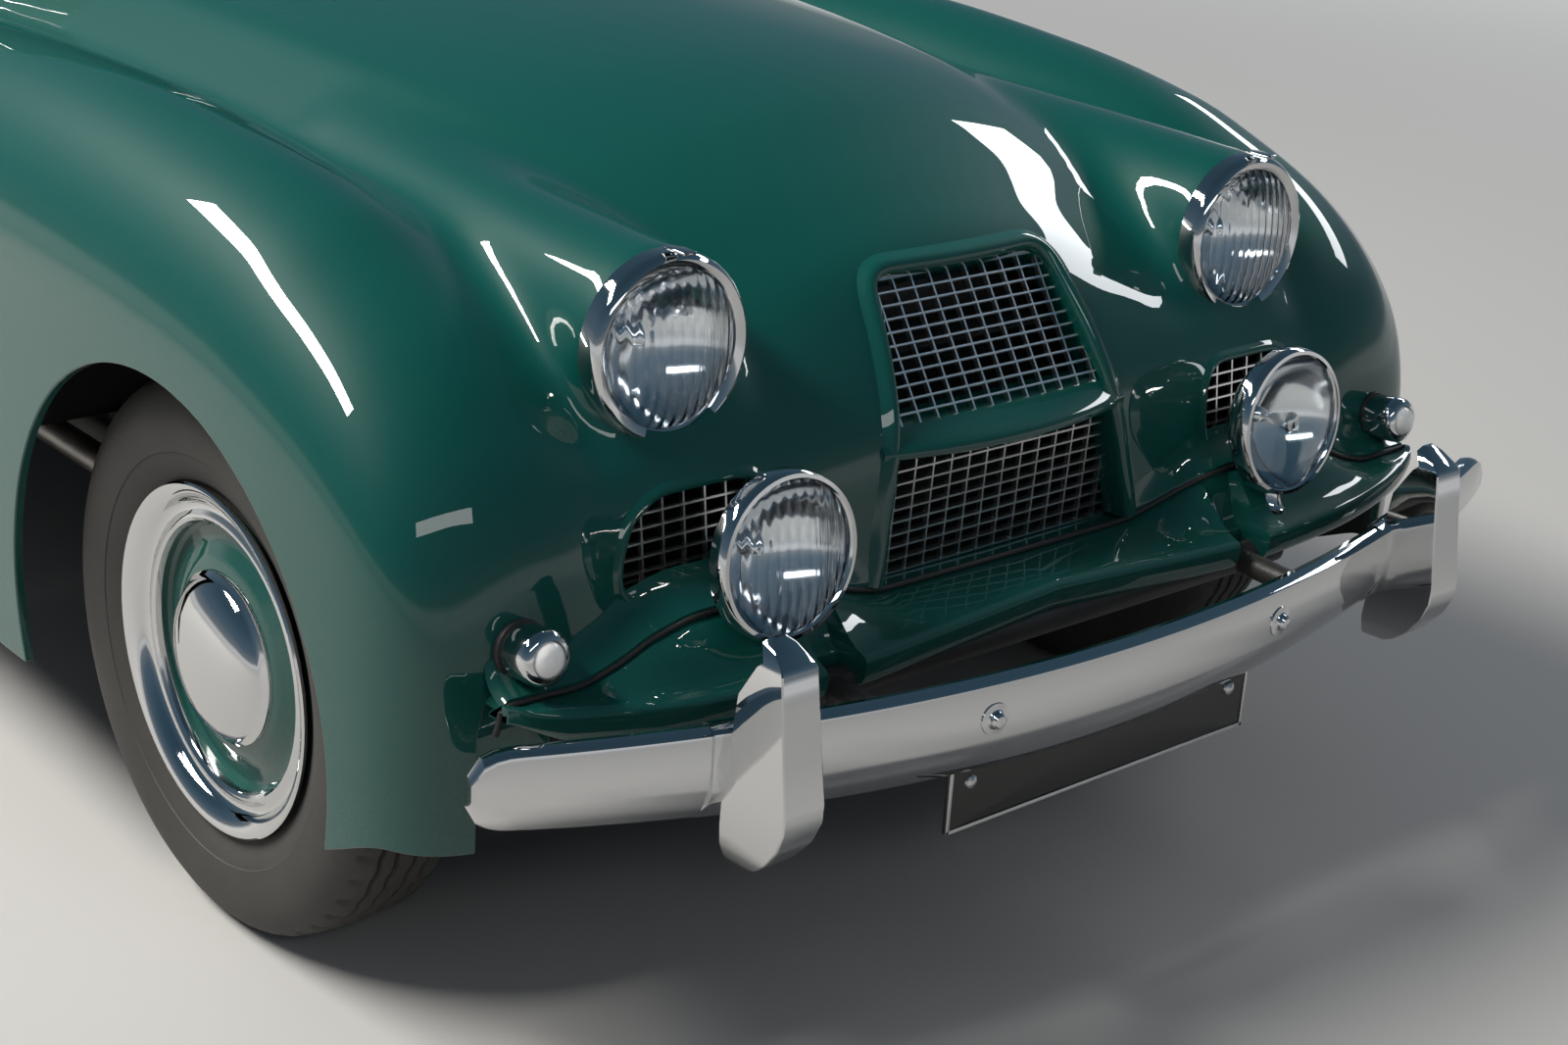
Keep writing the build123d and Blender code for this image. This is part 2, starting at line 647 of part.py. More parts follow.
def headlamps():
    """A bright rim over a bowl that sits in the pod."""
    x, y, z = HEADLAMP
    lens_r, rim, seat = HEADLAMP_RADIUS, HEADLAMP_RIM, HEADLAMP_SEAT
    profile = [(-10, lens_r), (-13, lens_r + 3), (-13, rim - 8), (-8, rim - 2), (0, rim), (seat, rim - 1), (seat, HEADLAMP_HOLE - 1)]
    profile += [(40, 70), (66, 36), (74, 0.0), (70, 0.0), (62, 33), (37, 66), (6, lens_r - 4), (-6, lens_r - 4), (-6, lens_r)]
    return both(turned_y(profile, x, y, z, HEADLAMP_TILT))


def fog_lamps(shelf):
    x, y, z = FOG_LAMP
    rim, glass = FOG_LAMP_RIM, FOG_LAMP_RADIUS
    profile = [(-6, glass), (-8, rim - 3), (0, rim), (12, rim), (26, 90), (42, 74), (58, 50), (72, 0.0), (68, 0.0)]
    profile += [(55, 47), (38, 70), (12, glass), (6, glass - 5), (2, glass - 5), (2, glass)]
    shell = turned_y(profile, x, y, z, FOG_LAMP_TILT)
    seat = 540.0
    stem = rod((x, FOG_POST_Y, seat - 60), (x, FOG_POST_Y, z - rim + 12), 9)
    cup = rod((x, FOG_POST_Y, seat - 40), (x, FOG_POST_Y, seat - 18), 20)
    foot = max(pieces(fuse([stem, cup]).cut(shelf)), key=lambda piece: piece.bounding_box().max.Z)
    return both(fuse([shell, foot]))


def side_lamps(clip):
    x, y, z = SIDE_LAMP
    profile = [(0, 21), (-4, 26), (0, SIDE_LAMP_RADIUS), (60, SIDE_LAMP_RADIUS + 2), (60, 0.0), (20, 0.0), (20, 21)]
    return both(largest(turned_y(profile, x, y, z, SIDE_LAMP_TILT).cut(clip)))


def lens(place_at, radius, bulge, tilt, forward, thickness=4.0):
    """A domed round glass, its rim forward of the lamp's own centre."""
    profile = [(0, radius), (-bulge * 0.6, radius * 0.66), (-bulge, radius * 0.28), (-bulge - 1, 0.0)]
    profile += [(-bulge - 1 + thickness, 0.0), (-bulge * 0.6 + thickness, radius * 0.62), (thickness * 0.9, radius)]
    return turned_y([(d - forward, r) for d, r in profile], *place_at, tilt)


def lamp_lenses():
    head = lens(HEADLAMP, HEADLAMP_RADIUS, 12, HEADLAMP_TILT, 9.6)
    side = lens(SIDE_LAMP, 21, 9, SIDE_LAMP_TILT, 1)
    fog = lens(FOG_LAMP, FOG_LAMP_RADIUS, 12, FOG_LAMP_TILT, 1.6)
    return both(head) + both(fog) + both(side)


def above_waist(past=0.0):
    """Everything over the waist line and inside the foot of the cabin; past runs both ends on, straight."""
    wires = []
    rows = stations(TUB_SECTIONS, SCREEN_FOOT, ROOF_END)
    if past:
        first, last = rows[0], rows[-1]
        rows = [(first[0] - past,) + first[1:]] + rows + [(last[0] + past,) + last[1:]]
    for row in rows:
        x, z = row[5], row[6] - WAIST_DROP
        points = [(-x, z), (x, z), (x, 2000), (-x, 2000)]
        wires.append(Wire.make_polygon([Vector(px, row[0], pz) for px, pz in points], close=True))
    return Solid.make_loft(wires, ruled=True)


def tub_wall():
    outer = form(TUB_SECTIONS, lower_ring, BODY_LOW)
    return outer.cut(above_waist(), under_edge())


def cabin_space():
    return form(TUB_SECTIONS, lower_ring, FLOOR_LOW + FLOOR_WALL, WALL, (WALL, WALL))


def roof_solid(inset=0.0):
    whole = form(ROOF_SECTIONS, roof_ring, 400, inset, (-inset if inset else 0, inset))
    return common(whole, above_waist(30.0))


def wheelhouse(grow=0.0):
    return rod((WHEELHOUSE_IN - grow, REAR_AXLE_Y, TYRE_RADIUS), (1100, REAR_AXLE_Y, TYRE_RADIUS), ARCH_RADIUS + grow)


def door_prism(way=1):
    """The door opening, clear of the windscreen pillar's foot."""
    whole = prism_x(DOOR_OUTLINE, 500, 1100, DOOR_CORNER)
    cut = whole.cut(block(400, PILLAR_FOOT_X, DOOR_FRONT - 50, 1330, 860, 1010))
    return cut if way > 0 else mirrored(cut)


def door_blank():
    """What the door fills of its opening: a gap all round, wider at the rear edge that swings out."""
    outline = [(y - (DOOR_REAR_PLAY if y > 2000 else 0), z) for y, z in DOOR_OUTLINE]
    whole = prism_x(grow_outline(outline, -PANEL_GAP), 500, 1100, DOOR_CORNER - PANEL_GAP)
    return whole.cut(block(400, PILLAR_FOOT_X + PANEL_GAP, DOOR_FRONT - 50, 1330 + PANEL_GAP, 850, 1010 + PANEL_GAP))


def window_prism(points, way=1):
    return prism_x(points, 450, 1100, WINDOW_CORNER) if way > 0 else prism_x(points, -1100, -450, WINDOW_CORNER)


def screen_prisms():
    return both(prism_y(SCREEN_HALF, SCREEN_FOOT - 60, SCREEN_FOOT + 420, WINDOW_CORNER * 0.7))


def body_tub():
    """The lower body: sides, floor, tunnel, wheelhouses and the wall behind the rear seat."""
    shell = tub_wall()
    space = cabin_space()
    tunnel = block(-150, 150, 1000, 2600, 0, 450)
    rear_floor = block(-1000, 1000, 2480, 4000, 0, 495)
    partition = block(-1000, 1000, 2745, 2775, 0, 850)
    space = space.cut(tunnel, rear_floor, partition, *both(wheelhouse(30)))
    sill = block(-1000, 1000, 1080, 2480, 0, FLOOR_LOW)
    under = form(TUB_SECTIONS, lower_ring, BODY_LOW - 60, WALL, (0.0, WALL))
    sill_space = common(under, sill)
    kick_space = common(under, block(-1000, 1000, 2480, 4000, 0, 455))
    under_tunnel = block(-120, 120, 1000, 2520, 0, 420)
    return shell.cut(space, sill_space, kick_space, under_tunnel, *both(wheelhouse()), *both(door_prism()))


def roof_shell():
    wall = roof_solid().cut(roof_solid(ROOF_WALL))
    rear = prism_z(REAR_WINDOW, 900, 1700, WINDOW_CORNER * 1.6)
    lid = prism_z(lid_outline(0), 500, 1500, BOOT_CORNER)
    sides = [window_prism(QUARTER_WINDOW, way) for way in (1, -1)]
    return wall.cut(rear, lid, *screen_prisms(), *both(door_prism()), *sides)


def lid_outline(grow, play=0.0):
    half, narrow = BOOT_HALF - play, BOOT_HALF - 60 - play
    return grow_outline([(-half, BOOT_FRONT), (half, BOOT_FRONT), (narrow, BOOT_REAR), (-narrow, BOOT_REAR)], grow)


def boot_lid():
    wall = roof_solid().cut(roof_solid(ROOF_WALL))
    return common(wall, prism_z(lid_outline(-PANEL_GAP, BOOT_SIDE_PLAY), 500, 1500, BOOT_CORNER - PANEL_GAP))


def door():
    blank = door_blank()
    lower = common(tub_wall(), blank).cut(cabin_space())
    upper = common(roof_solid(), blank).cut(roof_solid(ROOF_WALL), window_prism(DOOR_WINDOW))
    return lower.fuse(upper)


def glass_layer():
    return roof_solid(9).cut(roof_solid(15))


def door_glass(layer):
    return common(layer, window_prism(DOOR_WINDOW))


def fixed_glass(layer):
    out = [common(layer, window_prism(QUARTER_WINDOW, way)) for way in (1, -1)]
    out += [common(layer, p) for p in screen_prisms()]
    out.append(common(layer, prism_z(REAR_WINDOW, 900, 1700, WINDOW_CORNER * 1.6)))
    return out


def rail():
    top = [(-560, 470), (450, 340), (900, FLOOR_LOW), (2560, FLOOR_LOW), (2700, 452), (2990, 452), (3130, 400), (3840, 400)]
    low = [(3840, 320), (3110, 320), (2970, 400), (2730, 400), (2600, 166), (900, 166), (450, 250), (-560, 400)]
    return prism_x(top + low, RAIL_X - 45, RAIL_X + 45)


def beyond_bar(face_y, way):
    """The room on and in front of a bumper bar's inner face, which its irons stop short of."""
    r = BUMPER_CURVE
    outline = [(r - 1.5, -200), (r + 90, -200), (r + 90, 200), (r - 1.5, 200)]
    angle = math.degrees(math.asin(BUMPER_HALF / r))
    turn = Rotation(0, 0, -90 - angle if way < 0 else 90 - angle)
    wire = Wire.make_polygon([Vector(pr, 0, pz) for pr, pz in outline], close=True)
    return Pos(0, face_y - way * r, BUMPER_Z) * (turn * Solid.revolve(Face(wire), 2 * angle, Axis.Z))


def chassis_frame(front, rear):
    """Two kicked rails, their cross members, the front cross tube and the irons that carry the bumpers."""
    parts = both(rail())
    parts.append(block(-RAIL_X, RAIL_X, -60, 60, 320, 395))
    parts.append(block(-RAIL_X, RAIL_X, 900, 1000, 166, 225))
    parts.append(block(-RAIL_X, RAIL_X, 1900, 2000, 166, 225))
    parts.append(block(-RAIL_X, RAIL_X, 3300, 3360, 330, 390))
    tube_y, tube_z = CLIP_HINGE_Y, CLIP_HINGE_Z
    parts.append(rod((-430, tube_y, tube_z), (430, tube_y, tube_z), 20))
    parts += both(rod((RAIL_X, -545, 436), (RAIL_X, tube_y, tube_z), 18))
    parts += both(rod((NOTCH_X, tube_y, tube_z), (NOTCH_X, FRONT_BAR_Y + 20, BUMPER_Z - 38), 16))
    parts += both(rod((RAIL_X, 3800, 362), (NOTCH_X, REAR_BAR_Y, BUMPER_Z - 40), 16))
    return fuse(parts).cut(front, rear, beyond_bar(FRONT_BAR_Y, -1), beyond_bar(REAR_BAR_Y, 1))


def bumper(face_y, way):
    """A bowed bar with a turned-in top flange and foot. way is -1 at the nose and 1 at the tail."""
    r = BUMPER_CURVE
    outside = [(r - depth, z) for depth, z in BAR_OUTSIDE]
    back = [(outside[0][0], outside[0][1] - 3), (r - 9, 4), (r - BUMPER_WALL, -3), (r - BUMPER_WALL, -61)]
    back += [(r - 13, -81), (outside[-1][0], outside[-1][1] + 6)]
    angle = math.degrees(math.asin(BUMPER_HALF / r))
    turn = Rotation(0, 0, -90 - angle if way < 0 else 90 - angle)
    wire = Wire.make_polygon([Vector(x, 0, z) for x, z in outside + back[::-1]], close=True)
    bar = turn * Solid.revolve(Face(wire), 2 * angle, Axis.Z)
    bar = Pos(0, face_y - way * r, BUMPER_Z) * bar
    ends = prism_y([(-BUMPER_HALF, BUMPER_Z + 30), (-BUMPER_HALF, BUMPER_Z - 140), (BUMPER_HALF, BUMPER_Z - 140), (BUMPER_HALF, BUMPER_Z + 30)], -900, 4200, 46)
    return common(bar, ends)


def blade(face_y, way):
    """An overrider: a folded blade with a cut-back top and a curled foot, open at the back over its height."""
    wires = []
    for z, front, half, rear in BLADE:
        deep = max(rear, front + 3)
        wide = half + 0.09 * (deep - front)
        outline = [(-half + 3, front), (half - 3, front), (half, front + 2), (wide, deep), (-wide, deep), (-half, front + 2)]
        points = [Vector(RIDER_X + x, face_y - way * depth, BUMPER_Z + z) for x, depth in outline]
        wires.append(Wire.make_polygon(points, close=True))
    return Solid.make_loft(wires, ruled=True)


def front_bumper():
    return fuse([bumper(FRONT_BAR_Y, -1)] + both(blade(FRONT_BAR_Y, -1)))


def rear_bumper(front):
    """The front bumper turned about, as the two are one pressing."""
    return Pos(0, FRONT_BAR_Y + REAR_BAR_Y, 0) * (Rot(0, 0, 180) * front)


def plates(front_bar):
    """The front plate hangs from the bar on two straps; the rear one lies on the tail."""
    half = PLATE_WIDTH / 2
    face = FRONT_BAR_Y + PLATE_SET_BACK
    back = face + PLATE_THICKNESS
    parts = [block(-half, half, face, back, PLATE_LOW_Z, PLATE_LOW_Z + PLATE_HEIGHT)]
    for x in (-160, 160):
        parts.append(block(x - 12, x + 12, back, back + 5, PLATE_LOW_Z + 20, BUMPER_Z - 30))
        parts.append(block(x - 12, x + 12, FRONT_BAR_Y + 1, back + 5, BUMPER_Z - 35, BUMPER_Z - 30))
    front = fuse(parts).cut(front_bar, beyond_bar(FRONT_BAR_Y, -1))
    low = REAR_PLATE_LOW_Z
    rear = block(-half, half, BODY_END, BODY_END + PLATE_THICKNESS, low, low + PLATE_HEIGHT)
    return [front, rear]


def tail_lamps():
    return both(turned_y([(0, 0.0), (0, 31), (16, 29), (26, 18), (29, 0.0)], TAIL_LAMP_X, BODY_END, TAIL_LAMP_Z))


def wheel_profile():
    """A drop-centre rim with a bright outer flange and a dished disc, as (x, radius) from the wheel's middle."""
    rim, seat, bore = RIM_RADIUS, RIM_RADIUS - 19, SPINDLE_RADIUS + HUB_CLEARANCE
    half = RIM_WIDTH / 2
    points = [(-half, rim), (-half + 8, rim), (-half + 15, seat), (half - 19, seat), (half - 9, rim - 5), (half, rim)]
    points += [(half - 6, rim - 17), (54, seat - 12), (58, seat - 23), (38, 158), (38, 150), (53, 114), (53, 104)]
    points += [(CAP_SEAT, 96), (CAP_SEAT, bore), (-5, bore), (-5, 60), (34, 100), (28, 158), (22, seat - 10), (-half + 16, seat - 6), (-half, rim - 8)]
    return points


def tyre_profile():
    """A cross-ply tyre's section: round walls and a nearly flat tread."""
    r, half, tread = TYRE_RADIUS, TYRE_WIDTH / 2, TREAD_WIDTH / 2
    bead = RIM_RADIUS - 18
    outer = [(56, bead), (60, 219), (76, 246), (half, 282), (80, r - 36), (tread + 3, r - 9), (0, r)]
    left = [(-x, z) for x, z in reversed(outer[:-1])]
    inner = [(-48, bead), (-70, 262), (-68, r - 38), (68, r - 38), (70, 262), (48, bead)]
    return outer + left + inner


def cap_profile():
    """A domed cap with a rolled edge that sits on the disc."""
    r, top = CAP_RADIUS, CAP_SEAT + CAP_HEIGHT
    return [(53, r - 8), (53, r), (59, r), (64, r - 8), (72, r - 16), (top - 8, r * 0.6), (top, r * 0.2), (top, 0.0), (top - 4, 0.0), (top - 12, r * 0.58), (56, r - 12)]


def on_wheel(profile, x, y):
    """A turned profile set on a wheel centre, its outer face away from the car."""
    way = 1 if x > 0 else -1
    points = [(way * px, r) for px, r in profile]
    return turned_x(points, x, y, TYRE_RADIUS)


def knuckle(way):
    pin = rod((way * KINGPIN_X, 0, 262), (way * KINGPIN_X, 0, 434), 22)
    spindle = rod((way * KINGPIN_X, 0, TYRE_RADIUS), (way * (WHEEL_X + 44), 0, TYRE_RADIUS), SPINDLE_RADIUS)
    drum = rod((way * (WHEEL_X - 72), 0, TYRE_RADIUS), (way * (WHEEL_X - 12), 0, TYRE_RADIUS), DRUM_RADIUS)
    return fuse([pin, spindle, drum])


def front_suspension():
    out = []
    for way in (1, -1):
        for z in (225, 440):
            arm = block(RAIL_X + 46, KINGPIN_X + 20, -40, 40, z, z + 30)
            out.append(arm if way > 0 else mirrored(arm))
    return out


def rear_axle():
    tube = rod((-(WHEEL_X + 44), REAR_AXLE_Y, TYRE_RADIUS), (WHEEL_X + 44, REAR_AXLE_Y, TYRE_RADIUS), SPINDLE_RADIUS)
    casing = rod((-(WHEEL_X - 74), REAR_AXLE_Y, TYRE_RADIUS), (WHEEL_X - 74, REAR_AXLE_Y, TYRE_RADIUS), 42)
    pot = rod((-90, REAR_AXLE_Y, TYRE_RADIUS), (90, REAR_AXLE_Y, TYRE_RADIUS), 100)
    drum = rod((WHEEL_X - 72, REAR_AXLE_Y, TYRE_RADIUS), (WHEEL_X - 12, REAR_AXLE_Y, TYRE_RADIUS), DRUM_RADIUS)
    shaft = rod((0, 1075, 300), (0, REAR_AXLE_Y, TYRE_RADIUS), 34)
    return fuse([tube, casing, pot, shaft] + both(drum))


def engine():
    return block(-230, 230, -140, 650, 400, 880).fuse(block(-140, 140, 650, 1070, 235, 415), block(-110, 110, -100, 660, 397, 402))


def radiator():
    return block(-250, 250, -330, -260, 420, 800)


def exhaust():
    pipe = rod((-440, 640, 215), (-440, 3960, 215), 24)
    return pipe.fuse(rod((-440, 1500, 215), (-440, 2100, 215), 44))


def fuel_tank():
    return block(-270, 270, 3420, 3780, 300, 440)


def seats():
    """Front seats and a rear bench, each a cushion and a leaning back on its own base."""
    floor, rear_floor = FLOOR_LOW + FLOOR_WALL, 495
    out = []
    for x in (-400, 400):
        out.append(prism_x([(1560, floor), (2035, floor), (2040, 560), (2030, 585), (1990, 600), (1600, 600), (1560, 575)], x - 235, x + 235))
        back = [(2045, floor), (2105, floor), (2270, 1080), (2245, 1102), (2205, 1100), (2060, 560)]
        out.append(prism_x(back, x - 235, x + 235))
    out.append(prism_x([(2320, rear_floor), (2600, rear_floor), (2600, 645), (2360, 662), (2320, 640)], -500, 500))
    out.append(prism_x([(2612, rear_floor), (2700, rear_floor), (2735, 1020), (2715, 1040), (2675, 1036)], -500, 500))
    return out


def dashboard():
    return block(-DASH_HALF, DASH_HALF, 1330, 1390, 760, 940)


def column_axis():
    rake = math.radians(STEERING_RAKE)
    return Vector(0, math.cos(rake), math.sin(rake))


def steering_column():
    a = Vector(*STEERING)
    d = column_axis()
    return rod(a - d * 20, a - d * 420, 20)


def steering_wheel():
    plane = Plane(origin=STEERING, x_dir=(1, 0, 0), z_dir=column_axis())
    ring = Solid.make_torus(STEERING_RADIUS - 11, 11)
    spokes = [Rot(0, 0, a) * block(20, STEERING_RADIUS - 8, -9, 9, -5, 5) for a in (90, 210, 330)]
    hub = Pos(0, 0, -2) * Solid.make_cylinder(32, 24, Plane(origin=(0, 0, -12)))
    return plane.location * fuse([ring, hub] + spokes)


def handle(door_panel):
    """A pull handle on two feet that stand on the door's skin."""
    x, y, z = DOOR_HANDLE_X, DOOR_HANDLE_Y, DOOR_HANDLE_Z
    bar = rod((x, y, z), (x, y + 130, z), 8)
    feet = [rod((x - 50, y + s, z), (x, y + s, z), 7) for s in (15, 115)]
    standing = fuse([bar] + feet).cut(door_panel, cabin_space())
    return largest(standing)


def place(shape):
    """Moves a piece from the front axle's station to the middle of the car."""
    return [Pos(0, FRONT_AXLE_Y, 0) * piece for piece in pieces(shape)]


def write(name, shape):
    solids = place(shape)
    out = solids[0] if len(solids) == 1 else Compound(solids)
    out.label = name
    export_step(out, f"parts/{name}.step")
    bad = [s for s in solids if not s.is_valid]
    print(f"{name:18s} solids {len(solids)} invalid {len(bad)} volume {sum(s.volume for s in solids) / 1e6:9.3f} litres")


def build():
    os.makedirs("parts", exist_ok=True)
    layer = glass_layer()
    clip = front_clip()
    shelf = apron()
    front = front_bumper()
    rear = rear_bumper(front)
    left_door, left_glass = door(), door_glass(layer)
    left_handle = handle(left_door)
    items = {
        "front_clip": clip,
        "apron": shelf,
        "main_grille": main_grille(clip),
        "side_grilles": side_grilles(),
        "headlamps": headlamps(),
        "fog_lamps": fog_lamps(shelf),
        "side_lamps": side_lamps(clip),
        "lamp_lenses": lamp_lenses(),
        "body_tub": body_tub(),
        "roof_shell": roof_shell(),
        "boot_lid": boot_lid(),
        "chassis_frame": chassis_frame(front, rear),
        "front_bumper": front,
        "rear_bumper": rear,
        "plates": plates(front),
        "tail_lamps": tail_lamps(),
        "front_suspension": front_suspension(),
        "rear_axle": rear_axle(),
        "engine": engine(),
        "radiator": radiator(),
        "exhaust": exhaust(),
        "fuel_tank": fuel_tank(),
        "seats": seats(),
        "dashboard": dashboard(),
        "steering_column": steering_column(),
        "steering_wheel": steering_wheel(),
        "fixed_glass": fixed_glass(layer),
        "door_left": left_door,
        "door_right": mirrored(left_door),
        "door_glass_left": left_glass,
        "door_glass_right": mirrored(left_glass),
        "door_handle_left": left_handle,
        "door_handle_right": mirrored(left_handle),
    }
    for side, way in (("left", 1), ("right", -1)):
        items[f"knuckle_{side}"] = knuckle(way)
        for end, y in (("front", 0), ("rear", REAR_AXLE_Y)):
            items[f"wheel_{end}_{side}"] = on_wheel(wheel_profile(), way * WHEEL_X, y)
            items[f"tyre_{end}_{side}"] = on_wheel(tyre_profile(), way * WHEEL_X, y)
            items[f"hubcap_{end}_{side}"] = on_wheel(cap_profile(), way * WHEEL_X, y)
    for name, shape in items.items():
        write(name, shape)


build()
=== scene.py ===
# %% [markdown]
# # A 1950s saloon car, dressed for its photograph
# The CAD frame holds every piece of the car as a plain solid. This lesson lays the looks over it:
# smooth paint, polished bright work, glass, rubber and hide. It starts by loading the frame. All
# shapes below are worked out in millimetres from the front axle, and turned into metres at the end.

# %% Load the frame
import math

import bpy
import bmesh
import numpy as np
from mathutils import Matrix, Vector


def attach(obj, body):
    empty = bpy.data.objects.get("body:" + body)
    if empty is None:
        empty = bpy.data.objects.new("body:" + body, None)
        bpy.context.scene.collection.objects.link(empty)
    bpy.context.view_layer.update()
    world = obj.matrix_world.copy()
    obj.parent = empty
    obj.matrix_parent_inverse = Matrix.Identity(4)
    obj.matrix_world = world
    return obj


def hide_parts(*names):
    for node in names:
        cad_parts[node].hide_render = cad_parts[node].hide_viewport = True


WHEELBASE = 2845.0
FRONT_OVERHANG, REAR_OVERHANG = 792.0, 1202.0
TYRE_RADIUS = 348.0
WHEEL_X = 724.5
SIDES = (("left", 1), ("right", -1))

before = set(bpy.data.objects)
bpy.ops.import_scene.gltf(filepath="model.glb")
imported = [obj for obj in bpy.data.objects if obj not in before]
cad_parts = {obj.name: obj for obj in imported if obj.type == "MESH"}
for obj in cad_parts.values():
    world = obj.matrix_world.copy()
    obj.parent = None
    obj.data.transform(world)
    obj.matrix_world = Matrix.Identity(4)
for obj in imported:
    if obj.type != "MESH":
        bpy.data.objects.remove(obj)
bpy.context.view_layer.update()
AXLE_Y = (FRONT_OVERHANG - (FRONT_OVERHANG + WHEELBASE + REAR_OVERHANG) / 2) / 1000
print("front axle station", round(AXLE_Y, 4), "pieces", len(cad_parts))

# %% [markdown]
# ## Sections of the body
# A coach builder draws a body as a row of cross sections and then fairs the sheet over them. The
# same is done here, because few sections of arcs give one calm surface. The station is measured
# from the front axle. Each row gives the widest point of the side, the crest of the wing, the valley
# beside it, the edge of the bonnet and the crown on the middle line.

# %% Section tables
# station, side x, side z, crest x, crest z, valley x, valley z, bonnet x, bonnet z, crown z
SECTIONS = (
    (-530, 745, 430, 672, 520, 596, 492, 205, 500, 502),
    (-524, 776, 455, 674, 572, 598, 505, 206, 552, 556),
    (-512, 800, 490, 677, 625, 598, 552, 210, 632, 640),
    (-496, 822, 530, 680, 668, 596, 640, 216, 684, 694),
    (-470, 843, 585, 683, 718, 588, 698, 228, 734, 748),
    (-430, 856, 632, 686, 765, 576, 730, 246, 784, 810),
    (-385, 862, 662, 688, 805, 566, 757, 266, 822, 862),
    (-323, 866, 690, 690, 845, 560, 790, 292, 856, 897),
    (-230, 869, 712, 692, 886, 556, 822, 330, 900, 938),
    (-121, 870, 726, 693, 924, 552, 850, 362, 932, 975),
    (100, 871, 740, 694, 957, 550, 880, 402, 966, 1010),
    (420, 871, 748, 694, 974, 560, 902, 425, 986, 1030),
    (760, 869, 752, 693, 968, 578, 912, 440, 996, 1040),
    (1080, 866, 752, 692, 950, 602, 916, 455, 1003, 1046),
    (1250, 866, 738, 728, 926, 662, 918, 520, 1005, 1046),
    (1420, 865, 715, 768, 894, 715, 912, 590, 992, 1043),
    (1600, 863, 680, 806, 850, 748, 905, 640, 978, 1040),
    (1880, 858, 620, 812, 795, 760, 896, 655, 968, 1036),
    (2160, 855, 580, 812, 762, 762, 890, 660, 960, 1030),
    (2320, 860, 600, 808, 785, 754, 886, 652, 955, 1024),
    (2450, 867, 640, 798, 822, 740, 880, 640, 950, 1015),
    (2600, 871, 672, 775, 862, 718, 877, 625, 942, 1005),
    (2845, 872, 694, 738, 896, 670, 868, 590, 925, 985),
    (3100, 866, 690, 722, 890, 640, 838, 560, 888, 950),
    (3350, 848, 655, 706, 850, 610, 790, 535, 840, 900),
    (3600, 812, 592, 682, 778, 580, 715, 505, 770, 830),
    (3780, 762, 520, 650, 692, 548, 630, 470, 680, 735),
    (3860, 722, 470, 624, 630, 526, 572, 450, 610, 660),
    (3900, 682, 430, 600, 572, 505, 525, 430, 550, 590),
)
# station, foot x, roof x, gutter z, shoulder z, crown z, corner radius
ROOF = (
    (1190, 745, 690, 930, 975, 1035, 90),
    (1290, 744, 660, 1045, 1105, 1172, 100),
    (1400, 743, 630, 1165, 1238, 1304, 106),
    (1520, 742, 604, 1285, 1368, 1430, 112),
    (1640, 740, 602, 1318, 1405, 1472, 116),
    (1850, 740, 604, 1334, 1426, 1500, 122),
    (2250, 736, 604, 1335, 1430, 1508, 130),
    (2500, 718, 596, 1318, 1416, 1496, 136),
    (2700, 698, 582, 1284, 1384, 1462, 142),
    (2950, 660, 552, 1212, 1312, 1386, 148),
    (3150, 634, 522, 1128, 1224, 1292, 150),
    (3350, 590, 486, 1026, 1112, 1172, 148),
    (3550, 546, 450, 908, 978, 1030, 138),
    (3720, 502, 416, 790, 846, 890, 124),
    (3840, 462, 384, 690, 738, 774, 112),
)
# station, centre x, centre z, radius of the pod behind each headlamp
NACELLE = (
    (-445, 481, 816, 106),
    (-330, 480, 820, 105.5),
    (-180, 476, 829, 101),
    (0, 466, 842, 90),
    (200, 450, 850, 76),
)
print("sections", len(SECTIONS), "roof sections", len(ROOF))

# %% [markdown]
# Between two rows every column follows a smooth curve. A monotone cubic is used, because a plain
# spline would swing past the rows and leave waves that polished paint shows at once. One section is
# then an outline of arcs through the row's points.

# %% Smooth columns
def smooth_rows(table, stations):
    """The table's columns at other stations, by monotone cubics."""
    table = np.asarray(table, float)
    xs, ys = table[:, 0], table[:, 1:]
    x = np.clip(stations, xs[0], xs[-1])
    h = np.diff(xs)
    d = np.diff(ys, axis=0) / h[:, None]
    w1, w2 = (2 * h[1:] + h[:-1])[:, None], (h[1:] + 2 * h[:-1])[:, None]
    with np.errstate(divide="ignore", invalid="ignore"):
        mean = (w1 + w2) / (w1 / d[:-1] + w2 / d[1:])
    m = np.zeros_like(ys)
    m[1:-1] = np.where(d[1:] * d[:-1] > 0, mean, 0)
    m[0], m[-1] = d[0], d[-1]
    i = np.clip(np.searchsorted(xs, x) - 1, 0, len(h) - 1)
    t = ((x - xs[i]) / h[i])[:, None]
    k = h[i][:, None]
    a = (2 * t**3 - 3 * t**2 + 1) * ys[i] + (t**3 - 2 * t**2 + t) * k * m[i]
    return a + (3 * t**2 - 2 * t**3) * ys[i + 1] + (t**3 - t**2) * k * m[i + 1]


